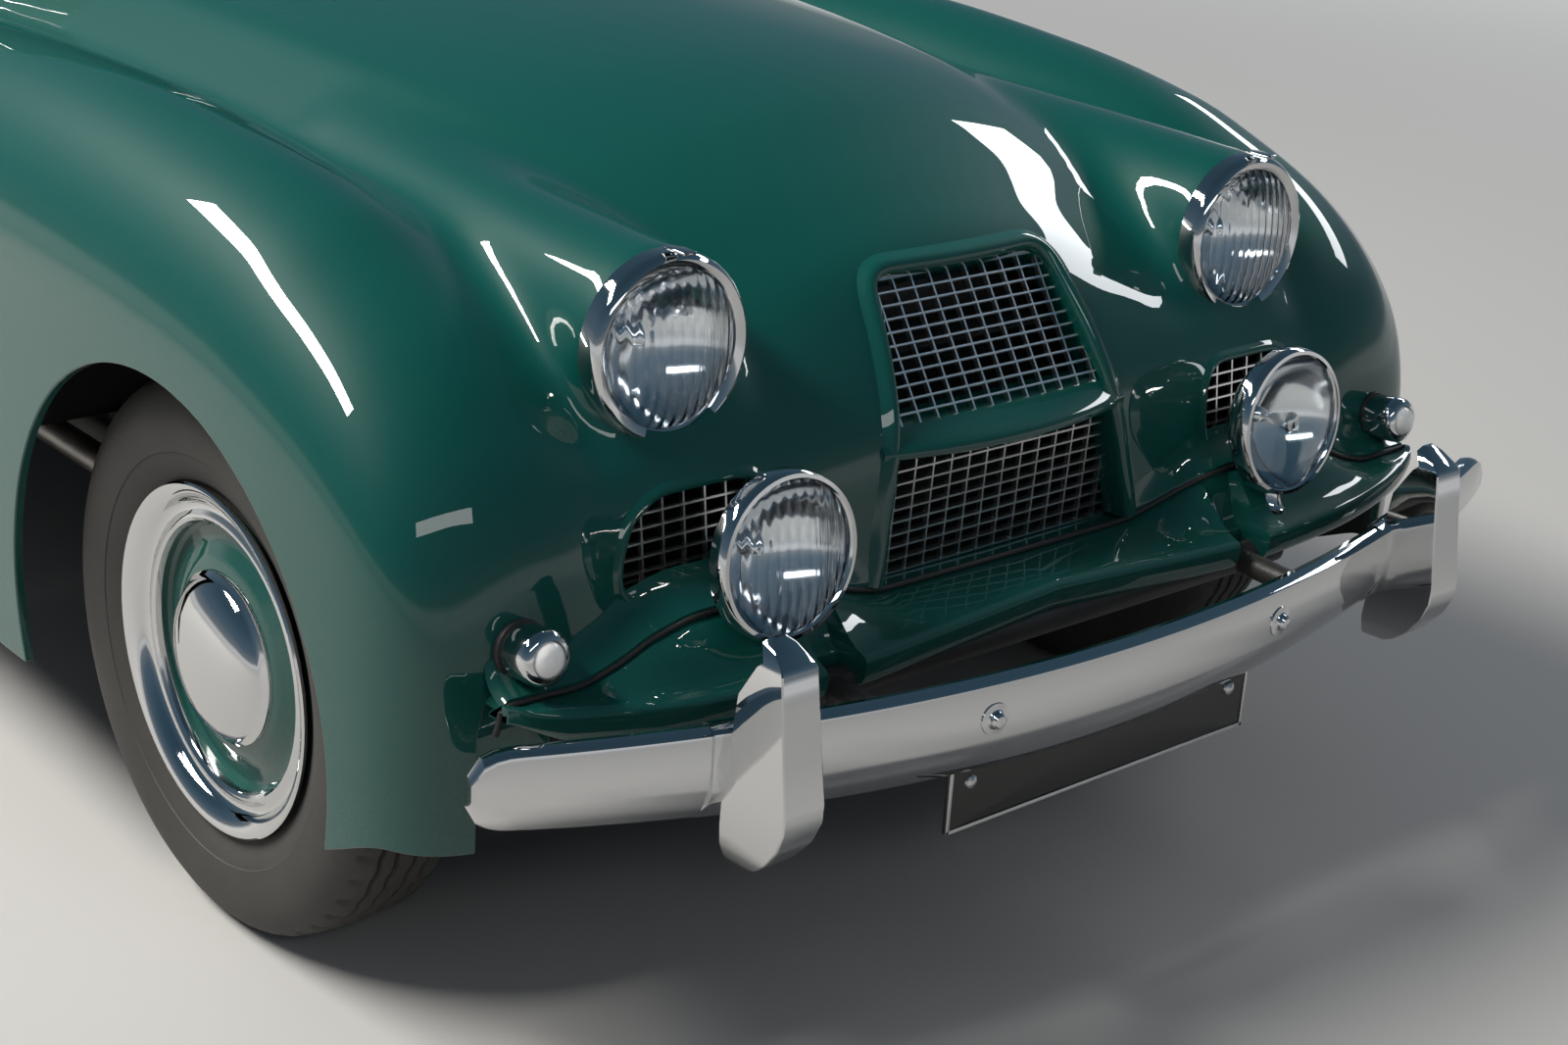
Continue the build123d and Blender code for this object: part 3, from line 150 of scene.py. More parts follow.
def arc(a, b, c, n):
    """n points of the arc from a through b to c, without c itself."""
    (ax, az), (bx, bz), (cx, cz) = a, b, c
    d = 2 * (ax * (bz - cz) + bx * (cz - az) + cx * (az - bz))
    if abs(d) < 1e-6:
        return [(ax + (cx - ax) * k / n, az + (cz - az) * k / n) for k in range(n)]
    qa, qb, qc = ax * ax + az * az, bx * bx + bz * bz, cx * cx + cz * cz
    ux = (qa * (bz - cz) + qb * (cz - az) + qc * (az - bz)) / d
    uz = (qa * (cx - bx) + qb * (ax - cx) + qc * (bx - ax)) / d
    r = math.hypot(ax - ux, az - uz)
    t0, t1, t2 = (math.atan2(z - uz, x - ux) for x, z in (a, b, c))
    sweep = (t2 - t0) % (2 * math.pi)
    if (t1 - t0) % (2 * math.pi) > sweep:
        sweep -= 2 * math.pi
    turns = [t0 + sweep * k / n for k in range(n)]
    return [(ux + r * math.cos(t), uz + r * math.sin(t)) for t in turns]


PAST_MIDDLE = -80
GROUND_SIDE = 100.0


def lower_outline(row):
    """Wing, valley and bonnet of one section, closed downwards and past the middle."""
    side, sz, cx, cz, vx, vz, hx, hz, top = row
    k = math.sqrt(0.5)
    mid_a = (cx + (side - cx) * k, sz + (cz - sz) * k)
    span = math.hypot(cx - vx, cz - vz)
    if cz > vz:
        dx, dz = cx - vx, cz - vz
        radius = span * span / (2 * dz)
        turn = math.asin(min(1.0, dx / radius))
        turn = (math.pi - turn) / 2 if dz > dx else turn / 2
        mid_b = (cx - radius * math.sin(turn), cz - radius * (1 - math.cos(turn)))
    else:
        mid_b = ((cx + vx) / 2 + 3 * (vz - cz) / span, (cz + vz) / 2 + 3 * (cx - vx) / span)
    points = [(side, GROUND_SIDE)] + arc((side, sz), mid_a, (cx, cz), 12)
    points += arc((cx, cz), mid_b, (vx, vz), 10)
    points += [(vx + (hx - vx) * q / 4, vz + (hz - vz) * q / 4) for q in range(4)]
    points += arc((hx, hz), (0, top), (-hx, hz), 20)[:11]
    return points + [(PAST_MIDDLE, points[-1][1]), (PAST_MIDDLE, GROUND_SIDE)]


def roof_outline(row, low=GROUND_SIDE):
    """Side, shoulder and crown of the cabin at one station."""
    foot, high, side, shoulder, crown, corner = row
    foot = high + (foot - high) * (side - low) / 400.0
    bend = 1 - math.sqrt(0.5)
    knee = (high - corner * bend, shoulder - (shoulder - side) * bend)
    points = [(foot, low)] + arc((high, side), knee, (high - corner, shoulder), 8)
    points += arc((high - corner, shoulder), (0, crown), (corner - high, shoulder), 20)[:11]
    return points + [(PAST_MIDDLE, points[-1][1]), (PAST_MIDDLE, low)]


print("outline points", len(lower_outline(SECTIONS[0][1:])), len(roof_outline(ROOF[0][1:])))

# %% [markdown]
# ## One smooth skin for the whole car
# The real panels were beaten into each other without an edge. A box or a loft would show where the
# shapes meet, so each section is drawn as a signed distance on a grid instead. The roof, the lower
# body and the lamp pods are joined with soft unions, the field is blurred a little, and its zero
# level is the painted skin.

# %% Distance field of the body
STEP = 12.0
ROOF_BLEND, POD_BLEND = 26.0, 48.0
ROOF_REACH = 60.0
POD_FADE, POD_END = 200.0, 330.0
FIELD_LIMIT = 60.0
BLUR = 1.15
GRID_Y = np.arange(-620.0, 4000.0, STEP)
GRID_X = np.arange(-48.0, 936.0, STEP)
GRID_Z = np.arange(144.0, 1572.0, STEP)


def distance_2d(px, pz, outline):
    """Signed distance of grid points to an outline, negative inside."""
    points = np.asarray(outline, float)
    best = np.full(px.shape, 1e12)
    inside = np.zeros(px.shape, bool)
    for (ax, az), (bx, bz) in zip(points, np.roll(points, -1, 0)):
        ex, ez = bx - ax, bz - az
        size = ex * ex + ez * ez
        if size < 1e-9:
            continue
        wx, wz = px - ax, pz - az
        t = np.clip((wx * ex + wz * ez) / size, 0, 1)
        best = np.minimum(best, (wx - ex * t) ** 2 + (wz - ez * t) ** 2)
        if ez:
            crosses = ((az <= pz) & (bz > pz)) | ((bz <= pz) & (az > pz))
            inside ^= crosses & (px < ax + (pz - az) / ez * ex)
    return np.where(inside, -1.0, 1.0) * np.sqrt(best)


def soft_union(a, b, k):
    """Two distances joined with a fillet of about k."""
    h = np.clip(0.5 + 0.5 * (b - a) / k, 0, 1)
    return b + (a - b) * h - k * h * (1 - h)


def blur(field, sigma):
    """The field smoothed along each axis by a bell of sigma cells."""
    reach = int(math.ceil(3 * sigma))
    weights = np.exp(-0.5 * (np.arange(-reach, reach + 1) / sigma) ** 2)
    weights /= weights.sum()
    for axis in range(3):
        pad = [(0, 0)] * 3
        pad[axis] = (reach, reach)
        wide = np.pad(field, pad, mode="edge")
        out = np.zeros_like(field)
        for k, w in enumerate(weights):
            cut = [slice(None)] * 3
            cut[axis] = slice(k, k + field.shape[axis])
            out += w * wide[tuple(cut)]
        field = out
    return field


def body_field():
    """The distance to the left half of the body at every grid point."""
    px, pz = np.meshgrid(GRID_X, GRID_Z, indexing="ij")
    lower = smooth_rows(SECTIONS, GRID_Y)
    upper = smooth_rows(ROOF, GRID_Y)
    pods = smooth_rows(NACELLE, GRID_Y)
    out = np.empty((len(GRID_Y),) + px.shape, np.float32)
    for i, y in enumerate(GRID_Y):
        d = distance_2d(px, pz, lower_outline(lower[i]))
        d = np.maximum(d, max(SECTIONS[0][0] - y, y - SECTIONS[-1][0]))
        if ROOF[0][0] - ROOF_REACH < y < ROOF[-1][0] + ROOF_REACH:
            r = distance_2d(px, pz, roof_outline(upper[i], lower[i][5] - 40.0))
            d = soft_union(d, np.maximum(r, max(ROOF[0][0] - y, y - ROOF[-1][0])), ROOF_BLEND)
        if NACELLE[0][0] - ROOF_REACH < y < POD_END:
            cx, cz, radius = pods[i]
            c = np.hypot(px - cx, pz - cz) - radius
            c = np.maximum(c, max(NACELLE[0][0] - y, (y - POD_FADE) * 0.5))
            d = soft_union(d, c, POD_BLEND)
        out[i] = d
    return out


FIELD = body_field()
slope = np.sqrt(sum(g * g for g in np.gradient(FIELD, STEP)))
FIELD = blur(np.clip(FIELD / np.clip(slope, 0.6, 6.0), -FIELD_LIMIT, FIELD_LIMIT), BLUR)
print("field", FIELD.shape, "least", round(float(FIELD.min()), 1))

# %% [markdown]
# The skin is found cell by cell: every cell that the surface crosses gets one point, and every
# crossed grid edge gets a face between its four cells. The points then slide down the field's slope
# on to the exact level, and the same slope gives the normals, so reflections run clean.

# %% Surface of a field
def neighbours(axis, others=slice(None)):
    """Indices of all grid points and of the next ones along an axis."""
    a, b = [others] * 3, [others] * 3
    a[axis], b[axis] = slice(0, -1), slice(1, None)
    return tuple(a), tuple(b)


def level_surface(f):
    """Points and four-sided faces of the surface where the field is zero."""
    neg = f < 0
    ny, nx, nz = f.shape
    total = np.zeros((ny - 1, nx - 1, nz - 1, 3), np.float32)
    count = np.zeros((ny - 1, nx - 1, nz - 1), np.float32)
    for axis in range(3):
        a, b = neighbours(axis)
        fa, fb = f[a], f[b]
        cross = neg[a] != neg[b]
        t = np.where(cross, fa / np.where(fa == fb, 1, fa - fb), 0)
        others = [k for k in range(3) if k != axis]
        for da in (0, 1):
            for db in (0, 1):
                s = [slice(None)] * 3
                s[others[0]] = slice(da, da + total.shape[others[0]])
                s[others[1]] = slice(db, db + total.shape[others[1]])
                c = cross[tuple(s)]
                total[..., axis] += np.where(c, t[tuple(s)], 0)
                total[..., others[0]] += np.where(c, da, 0)
                total[..., others[1]] += np.where(c, db, 0)
                count += c
    cells = np.argwhere(count > 0)
    index = np.full(count.shape, -1, np.int64)
    index[tuple(cells.T)] = np.arange(len(cells))
    place = cells + total[tuple(cells.T)] / count[tuple(cells.T)][:, None]
    corner = np.array([GRID_X[0], GRID_Y[0], GRID_Z[0]])
    points = corner + place[:, [1, 0, 2]] * STEP
    faces = []
    for axis in range(3):
        others = [k for k in range(3) if k != axis]
        a, b = neighbours(axis, slice(1, -1))
        hits = np.argwhere(neg[a] != neg[b])
        away = neg[a][tuple(hits.T)]
        quad = []
        for da, db in ((0, 0), (1, 0), (1, 1), (0, 1)):
            c = hits.copy()
            c[:, others[0]] += da
            c[:, others[1]] += db
            quad.append(index[tuple(c.T)])
        quad = np.stack(quad, 1)
        flip = away ^ (axis == 0)
        quad[flip] = quad[flip][:, ::-1]
        faces.append(quad)
    return points, np.concatenate(faces)


def sample(field, points):
    """Values between the grid points, in straight proportion."""
    g = (points[:, [1, 0, 2]] - [GRID_Y[0], GRID_X[0], GRID_Z[0]]) / STEP
    g = np.clip(g, 0, np.array(field.shape[:3]) - 1.001)
    i = g.astype(int)
    t = g - i
    out = 0
    for a in (0, 1):
        for b in (0, 1):
            for c in (0, 1):
                w = abs(1 - a - t[:, 0]) * abs(1 - b - t[:, 1]) * abs(1 - c - t[:, 2])
                v = field[i[:, 0] + a, i[:, 1] + b, i[:, 2] + c]
                out = out + (w[:, None] * v if v.ndim > 1 else w * v)
    return out


gy, gx, gz = np.gradient(FIELD, STEP)
SLOPE = np.stack([gx, gy, gz], -1)
del gx, gy, gz, slope


def slope_at(points):
    """The field's slope on either side of the car; the grid holds only the left half."""
    side = np.where(points[:, :1] < 0, [[-1.0, 1.0, 1.0]], 1.0)
    return sample(SLOPE, points * side) * side


def normals_at(points):
    """Unit normals that point out of the body."""
    n = slope_at(points)
    return n / np.maximum(np.linalg.norm(n, axis=1), 1e-6)[:, None]


def off_skin(points):
    """How far points lie outside the skin, less than zero inside it."""
    return sample(FIELD, np.column_stack([np.abs(points[:, 0]), points[:, 1:]]))


def settle(points):
    """The nearest points on the skin."""
    for _ in range(3):
        g = slope_at(points)
        size = np.maximum((g * g).sum(1), 0.05)
        points = points - g * (off_skin(points) / size)[:, None]
    return points


SKIN_V, SKIN_F = level_surface(FIELD)
SKIN_V = settle(SKIN_V)
one, two, three, four = (SKIN_V[SKIN_F[:, k]] for k in range(4))
across = np.cross(three - one, four - two)
inward = (across * normals_at(SKIN_V[SKIN_F].mean(1))).sum(1) < 0
SKIN_F[inward] = SKIN_F[inward][:, ::-1]
SKIN_T = np.concatenate([SKIN_F[:, [0, 1, 2]], SKIN_F[:, [0, 2, 3]]])
print("skin points", len(SKIN_V), "triangles", len(SKIN_T))

# %% [markdown]
# ## Cutting panels out of the skin
# On the real car the shut lines and openings were cut after the body was faired, and so they are
# here. A panel keeps the part of the skin where a measuring function is positive. Triangles that
# cross zero are cut exactly there, which gives cleaner lines than a Boolean modifier on a thin sheet.

# %% Trim and mirror
SNAP = 0.6


def compact(v, f):
    used = np.unique(f)
    index = np.full(len(v), -1)
    index[used] = np.arange(len(used))
    return v[used], index[f]


def trim(v, f, measure):
    """The triangles where the measure is positive, with those on its edge cut through."""
    g = measure(v)
    g = np.where(np.abs(g) < SNAP, 0.0, g)
    inside = g > 0
    near = g == 0
    keep = (inside | near)[f].all(1) & inside[f].any(1)
    rest = f[~keep & inside[f].any(1)]
    made, extra, known = [], [], {}

    def crossing(a, b):
        key = (min(a, b), max(a, b))
        if key not in known:
            t = g[a] / (g[a] - g[b])
            known[key] = len(v) + len(extra)
            extra.append(v[a] + (v[b] - v[a]) * t)
        return known[key]

    for tri in rest:
        corners = []
        for k in range(3):
            a, b = int(tri[k]), int(tri[(k + 1) % 3])
            if g[a] >= 0:
                corners.append(a)
            if g[a] * g[b] < 0:
                corners.append(crossing(a, b))
        for k in range(1, len(corners) - 1):
            made.append((corners[0], corners[k], corners[k + 1]))
    v = np.concatenate([v, np.array(extra).reshape(-1, 3)])
    f = np.concatenate([f[keep], np.array(made, int).reshape(-1, 3)])
    return compact(v, f)


def mirror_x(v, f):
    return v * [-1, 1, 1], f[:, ::-1]


def weld(v, f, tol=0.02):
    """Points closer than tol become one."""
    keys = np.round(v / tol).astype(np.int64)
    _, first, back = np.unique(keys, axis=0, return_index=True, return_inverse=True)
    f = back.reshape(-1)[f]
    ok = (f[:, 0] != f[:, 1]) & (f[:, 1] != f[:, 2]) & (f[:, 0] != f[:, 2])
    return v[first], f[ok]


def whole(v, f):
    """Both sides of a half that ends on the middle plane."""
    v = v.copy()
    v[np.abs(v[:, 0]) < 0.7, 0] = 0
    mv, mf = mirror_x(v, f)
    return weld(np.concatenate([v, mv]), np.concatenate([f, mf + len(v)]))


HALF_V, HALF_F = trim(SKIN_V, SKIN_T, lambda p: p[:, 0])
print("half skin", len(HALF_V), len(HALF_F))

# %% [markdown]
# Doors, windows and lids are outlines seen from the side, the front or above. An outline's measuring
# function is its signed distance, and drawing it smaller and adding a radius rounds its corners.

# %% Outline functions
def outline_distance(points, u, w, radius):
    """Positive inside; radius rounds the outline's outer corners."""
    shape = inset_outline(points, radius) if radius else points
    return radius - distance_2d(u, w, shape)


def turn_way(points):
    """1 for an outline that runs anticlockwise, otherwise -1."""
    following = points[1:] + points[:1]
    return 1 if sum(a[0] * b[1] - b[0] * a[1] for a, b in zip(points, following)) > 0 else -1


def inset_outline(points, amount):
    """The outline with every side moved inwards."""
    points = list(points)
    count, way = len(points), turn_way(points)
    lines = []
    for i in range(count):
        (x0, y0), (x1, y1) = points[i], points[(i + 1) % count]
        size = math.hypot(x1 - x0, y1 - y0)
        nx, ny = way * (y1 - y0) / size, -way * (x1 - x0) / size
        lines.append((nx, ny, nx * x0 + ny * y0 - amount))
    out = []
    for i in range(count):
        a1, b1, c1 = lines[i - 1]
        a2, b2, c2 = lines[i]
        det = a1 * b2 - a2 * b1
        out.append(((c1 * b2 - c2 * b1) / det, (a1 * c2 - a2 * c1) / det))
    return out


# (y, z) seen from the side, (x, z) from the front, (x, y) from above
DOOR = ((1120, 345), (1120, 930), (1300, 990), (1570, 1372), (2085, 1372), (2125, 960), (2130, 345))
LOW_EDGE = (
    (-560, 322), (-470, 322), (-380, 290), (-300, 250), (300, 232), (394, 229), (700, 240),
    (2400, 240), (2560, 240), (3100, 262), (3400, 300), (3700, 368), (3900, 420),
)
SEAM = (
    (0, 500), (205, 502), (250, 511), (300, 530), (345, 545), (400, 550), (505, 550),
    (568, 539), (621, 518), (673, 506), (718, 507), (752, 506), (766, 494), (774, 470),
)
DOOR_GLASS = ((1380, 1010), (1608, 1325), (2045, 1325), (2080, 1010))
QUARTER = ((2215, 1010), (2192, 1325), (2400, 1310), (2545, 1200), (2600, 1010))
REAR_GLASS = ((-400, 2800), (400, 2800), (350, 3130), (-350, 3130))
SCREEN = ((22, 1085), (560, 1060), (525, 1352), (22, 1372))
LID = ((-430, 3290), (430, 3290), (370, 3780), (-370, 3780))
MAIN_OPENING = ((-232, 440), (232, 440), (150, 844), (-150, 844))
SIDE_OPENING = ((364, 556), (586, 556), (583, 606), (562, 648), (520, 670), (392, 672), (366, 640))
GAP = 4.0
NOT_HERE = 50.0
ARCH_RADIUS, ARCH_INNER_X = 374.0, 612.0
CLIP_REAR = 1080.0
CLIP_HINGE = (-600.0, 440.0)


def within(points, radius, u, w, here):
    """Inside an outline in columns u and w of the points, wherever here is true."""

    def measure(p):
        return np.where(here(p), outline_distance(points, p[:, u], p[:, w], radius), -NOT_HERE)

    return measure


def side_view(points, radius):
    """An outline of (y, z) points on either side of the car."""
    return within(points, radius, 1, 2, lambda p: np.abs(p[:, 0]) > 450)


def front_view(points, radius, y_max):
    """An outline of (x, z) points, ahead of y_max."""
    return within(points, radius, 0, 2, lambda p: p[:, 1] < y_max)


def plan_view(points, radius, z_min):
    """An outline of (x, y) points, above z_min."""
    return within(points, radius, 0, 1, lambda p: p[:, 2] > z_min)


def arch(axle_y):
    """Inside the wheel arch round an axle."""

    def measure(p):
        d = ARCH_RADIUS - np.hypot(p[:, 1] - axle_y, p[:, 2] - TYRE_RADIUS)
        return np.where(np.abs(p[:, 0]) > ARCH_INNER_X, d, -NOT_HERE)

    return measure


def pillar_foot(p):
    """The corner of the cowl beside the windscreen. It stays with the body when a door opens."""
    x, y, z = np.abs(p[:, 0]), p[:, 1], p[:, 2]
    return np.minimum.reduce([660 - x, y - 1070, 1330 - y, z - 860, 1010 - z])


def behind_clip(p):
    """How far behind the front panel's rear edge, which follows the hinge's arc low down."""
    hinge_y, hinge_z = CLIP_HINGE
    low = np.hypot(p[:, 1] - hinge_y, p[:, 2] - hinge_z) - (CLIP_REAR - hinge_y)
    return np.where(p[:, 2] < hinge_z, low, p[:, 1] - CLIP_REAR)


print("outlines ready")

# %% [markdown]
# A panel's edge is folded over on the real car, which gives shut lines their soft rim. A Solidify
# modifier would leave a sharp one, so the panel is closed here by hand: the outer skin, a rounded
# hem along every edge and, where it can be seen, an inner skin one thickness inside. The outer
# normals come from the field, so reflections run smoothly across the panels.

# %% Build a closed panel
def edge_frame(v, f):
    """Boundary edges and, for each boundary point, the direction out of the panel."""
    edges = np.concatenate([f[:, [0, 1]], f[:, [1, 2]], f[:, [2, 0]]])
    key = np.sort(edges, axis=1)
    _, first, count = np.unique(key, axis=0, return_index=True, return_counts=True)
    rim = edges[first[count == 1]]
    n = normals_at(v)
    along = v[rim[:, 1]] - v[rim[:, 0]]
    along /= np.maximum(np.linalg.norm(along, axis=1), 1e-9)[:, None]
    out = np.zeros_like(v)
    for k in (0, 1):
        np.add.at(out, rim[:, k], np.cross(along, n[rim[:, k]]))
    out -= n * (out * n).sum(1)[:, None]
    out /= np.maximum(np.linalg.norm(out, axis=1), 1e-9)[:, None]
    return rim, n, out


HEM_TURNS = (30, 60, 90)


def panel_arrays(v, f, thick, hem=2.5, inner=True):
    """Points, faces and corner normals of the skin, its hem and its inner face."""
    rim, n, out = edge_frame(v, f)
    count = len(v)
    pts, faces, norms = [v], [f], [n[f].reshape(-1, 3)]
    turns = [math.radians(a) for a in HEM_TURNS]
    rings = [(math.sin(a) * hem, (1 - math.cos(a)) * hem, a) for a in turns]
    edge_points = np.unique(rim)
    where = np.full(count, -1)
    where[edge_points] = np.arange(len(edge_points))
    last_index, last_angle = edge_points[where[rim]], 0.0
    offset = count
    levels = rings + [(hem, thick - hem * 0.2, math.pi / 2)]
    ep, en, eo = v[edge_points], n[edge_points], out[edge_points]
    for reach, depth, angle in levels:
        pts.append(ep + eo * reach - en * depth)
        index = offset + where[rim]
        quad = np.stack([last_index[:, 1], last_index[:, 0], index[:, 0], index[:, 1]], 1)
        a = where[rim]
        prev = en * math.cos(last_angle) + eo * math.sin(last_angle)
        here = en * math.cos(angle) + eo * math.sin(angle)
        qn = np.stack([prev[a[:, 1]], prev[a[:, 0]], here[a[:, 0]], here[a[:, 1]]], 1)
        faces.append(quad)
        norms.append(qn.reshape(-1, 3))
        last_index, last_angle = index, angle
        offset += len(edge_points)
    if inner:
        pts.append(v - n * thick)
        faces.append(f[:, ::-1] + offset)
        norms.append(-n[f[:, ::-1]].reshape(-1, 3))
        back = offset + rim
        quad = np.stack([last_index[:, 1], last_index[:, 0], back[:, 0], back[:, 1]], 1)
        faces.append(quad)
        norms.append(np.repeat(-n[rim[:, 0]], 4, axis=0))
    return np.concatenate(pts), faces, np.concatenate(norms)


def linked(name, data):
    ob = bpy.data.objects.new(name, data)
    bpy.context.scene.collection.objects.link(ob)
    return ob


def to_metres(points):
    """Millimetres from the front axle as metres in the frame."""
    return (np.asarray(points, float) + [0, AXLE_Y * 1000, 0]) / 1000


def mesh_from(name, points, faces, normals, mats, mat_index=None):
    """An object from arrays of points and of faces with three or four corners."""
    me = bpy.data.meshes.new(name)
    loops = np.concatenate([np.asarray(f).reshape(-1) for f in faces])
    sizes = np.concatenate([np.full(len(f), np.asarray(f).shape[1]) for f in faces])
    starts = np.concatenate([[0], np.cumsum(sizes)[:-1]])
    me.vertices.add(len(points))
    me.vertices.foreach_set("co", to_metres(points).astype(np.float32).ravel())
    me.loops.add(len(loops))
    me.loops.foreach_set("vertex_index", loops.astype(np.int32))
    me.polygons.add(len(sizes))
    me.polygons.foreach_set("loop_start", starts.astype(np.int32))
    me.polygons.foreach_set("loop_total", sizes.astype(np.int32))
    if mat_index is not None:
        me.polygons.foreach_set("material_index", mat_index.astype(np.int32))
    me.update(calc_edges=True)
    me.validate(clean_customdata=False)
    for m in mats:
        me.materials.append(m)
    me.polygons.foreach_set("use_smooth", np.ones(len(me.polygons), bool))
    if normals is not None and len(normals) == len(me.loops):
        me.normals_split_custom_set([tuple(n) for n in normals])
    return linked(name, me)


def given(ob, body, replaces=()):
    """The object rides a body and may stand for nodes of the frame."""
    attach(ob, body)
    if replaces:
        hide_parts(*replaces)
    return ob


def panel(name, v, f, thick, body, mats, replaces):
    """A trimmed skin with folded edges; a second finish also gives it an inner face."""
    inner = len(mats) > 1
    points, faces, norms = panel_arrays(v, f, thick, inner=inner)
    index = np.repeat([0, 1], [sum(len(x) for x in faces[:-2]), len(faces[-2]) + len(faces[-1])])
    ob = mesh_from(name, points, faces, norms, mats, index if inner else None)
    given(ob, body, replaces)


print("panel builder ready")

# %% [markdown]
# ## Camera, floor and lights
# The camera stands where the photograph was taken from, and the floor and the sky stay pale. A car
# is lit by what it mirrors, so three long soft lamps are used. The key hangs high beside the car, on
# the camera's side, and lies roughly along it, so that it draws one long bright line on the wing.

# %% Camera and stage
CAMERA_PLACE = (-2.14637, -2.50796 + AXLE_Y, 1.66135)
CAMERA_RIGHT = (0.75846059, -0.64886015, 0.06097572)
CAMERA_UP = (0.19506431, 0.31528933, 0.92873169)
CAMERA_BACK = (-0.62184198, -0.6925122, 0.36570399)
LENS, SENSOR = 58.808, 36.0
BACKDROP = (0.66, 0.665, 0.67, 1)
FLOOR_TONE = (0.36, 0.355, 0.345, 1)
FLOOR_HALF = 60
FADE_FROM, FADE_TO = 3.5, 10.0


def add_camera():
    """The photograph's own view."""
    lens = bpy.data.cameras.new("photo_camera")
    lens.sensor_width, lens.lens = SENSOR, LENS
    lens.clip_start, lens.clip_end = 0.05, 200.0
    ob = linked("photo_camera", lens)
    turn = Matrix((CAMERA_RIGHT, CAMERA_UP, CAMERA_BACK)).transposed().to_4x4()
    ob.matrix_world = Matrix.Translation(CAMERA_PLACE) @ turn
    bpy.context.scene.camera = ob


def add_lamp(name, place, aim, size, power, tint=(1, 1, 1)):
    """A soft rectangle of light that faces its aim."""
    data = bpy.data.lights.new(name, "AREA")
    data.shape, data.energy, data.color = "RECTANGLE", power, tint
    data.size, data.size_y = size
    ob = linked(name, data)
    ob.location = place
    ob.rotation_euler = (Vector(aim) - Vector(place)).to_track_quat("-Z", "Y").to_euler()


def add(tree, kind):
    return tree.nodes.new("ShaderNode" + kind)


def fill(node, **values):
    """Sets a node's inputs; an underscore in a name stands for a space."""
    for name, value in values.items():
        node.inputs[name.replace("_", " ")].default_value = value


def sockets(tree, kind, **values):
    """Inputs of a node group, with the values that they start from."""
    for name, value in values.items():
        kind_name = "NodeSocket" + kind
        face = tree.interface.new_socket(name, in_out="INPUT", socket_type=kind_name)
        face.default_value = value


def joined(tree, *links):
    for out, into in links:
        tree.links.new(out, into)


def seen_directly(tree):
    """1 for the rays that show a surface itself: from the camera, in a reflection or through glass."""
    path = add(tree, "LightPath")
    first = add(tree, "Math")
    second = add(tree, "Math")
    first.operation = second.operation = "MAXIMUM"
    joined(
        tree,
        (path.outputs["Is Camera Ray"], first.inputs[0]),
        (path.outputs["Is Glossy Ray"], first.inputs[1]),
        (first.outputs[0], second.inputs[0]),
        (path.outputs["Is Transmission Ray"], second.inputs[1]),
    )
    return second.outputs[0]


def add_floor():
    """A pale floor that keeps the shadow near the car and fades to the pale backdrop further out."""
    me = bpy.data.meshes.new("floor")
    corners = [(x * FLOOR_HALF, y * FLOOR_HALF, 0) for x, y in ((-1, -1), (1, -1), (1, 1), (-1, 1))]
    me.from_pydata(corners, [], [(0, 1, 2, 3)])
    ob = linked("floor", me)
    m = bpy.data.materials.new("pale_floor")
    m.use_nodes = True
    tree = m.node_tree
    base = tree.nodes["Principled BSDF"]
    fill(base, Base_Color=FLOOR_TONE, Roughness=0.9)
    glow = add(tree, "Emission")
    fill(glow, Color=BACKDROP)
    place = add(tree, "TexCoord")
    far = add(tree, "VectorMath")
    far.operation = "LENGTH"
    fade = add(tree, "MapRange")
    fade.interpolation_type = "SMOOTHSTEP"
    fill(fade, From_Min=FADE_FROM, From_Max=FADE_TO)
    both = add(tree, "Math")
    both.operation = "MULTIPLY"
    mix = add(tree, "MixShader")
    joined(
        tree,
        (place.outputs["Object"], far.inputs[0]),
        (far.outputs["Value"], fade.inputs["Value"]),
        (fade.outputs["Result"], both.inputs[0]),
        (seen_directly(tree), both.inputs[1]),
        (both.outputs[0], mix.inputs[0]),
        (base.outputs[0], mix.inputs[1]),
        (glow.outputs[0], mix.inputs[2]),
        (mix.outputs[0], tree.nodes["Material Output"].inputs["Surface"]),
    )
    me.materials.append(m)


# height of the look upwards, colour
SKY = (
    (0.0, BACKDROP),
    (0.05, (0.20, 0.23, 0.25, 1)),
    (0.2, (0.09, 0.14, 0.19, 1)),
    (0.55, (0.045, 0.09, 0.13, 1)),
    (0.95, (0.03, 0.06, 0.09, 1)),
)
SKY_LIGHT, SKY_STRENGTH = (0.80, 0.88, 1.0, 1), 0.27


def add_sky():
    """Even light; what is seen of it is pale at the horizon and a deeper blue overhead."""
    world = bpy.data.worlds.new("studio")
    world.use_nodes = True
    bpy.context.scene.world = world
    tree = world.node_tree
    sky = tree.nodes["Background"]
    fill(sky, Color=SKY_LIGHT, Strength=SKY_STRENGTH)
    seen = add(tree, "Background")
    place = add(tree, "TexCoord")
    split = add(tree, "SeparateXYZ")
    ramp = add(tree, "ValToRGB")
    stops = ramp.color_ramp.elements
    stops[0].position, stops[0].color = SKY[0]
    stops[1].position, stops[1].color = SKY[-1]
    for position, colour in SKY[1:-1]:
        stops.new(position).color = colour
    mix = add(tree, "MixShader")
    joined(
        tree,
        (place.outputs["Generated"], split.inputs[0]),
        (split.outputs["Z"], ramp.inputs[0]),
        (ramp.outputs["Color"], seen.inputs["Color"]),
        (seen_directly(tree), mix.inputs[0]),
        (sky.outputs[0], mix.inputs[1]),
        (seen.outputs[0], mix.inputs[2]),
        (mix.outputs[0], tree.nodes["World Output"].inputs["Surface"]),
    )


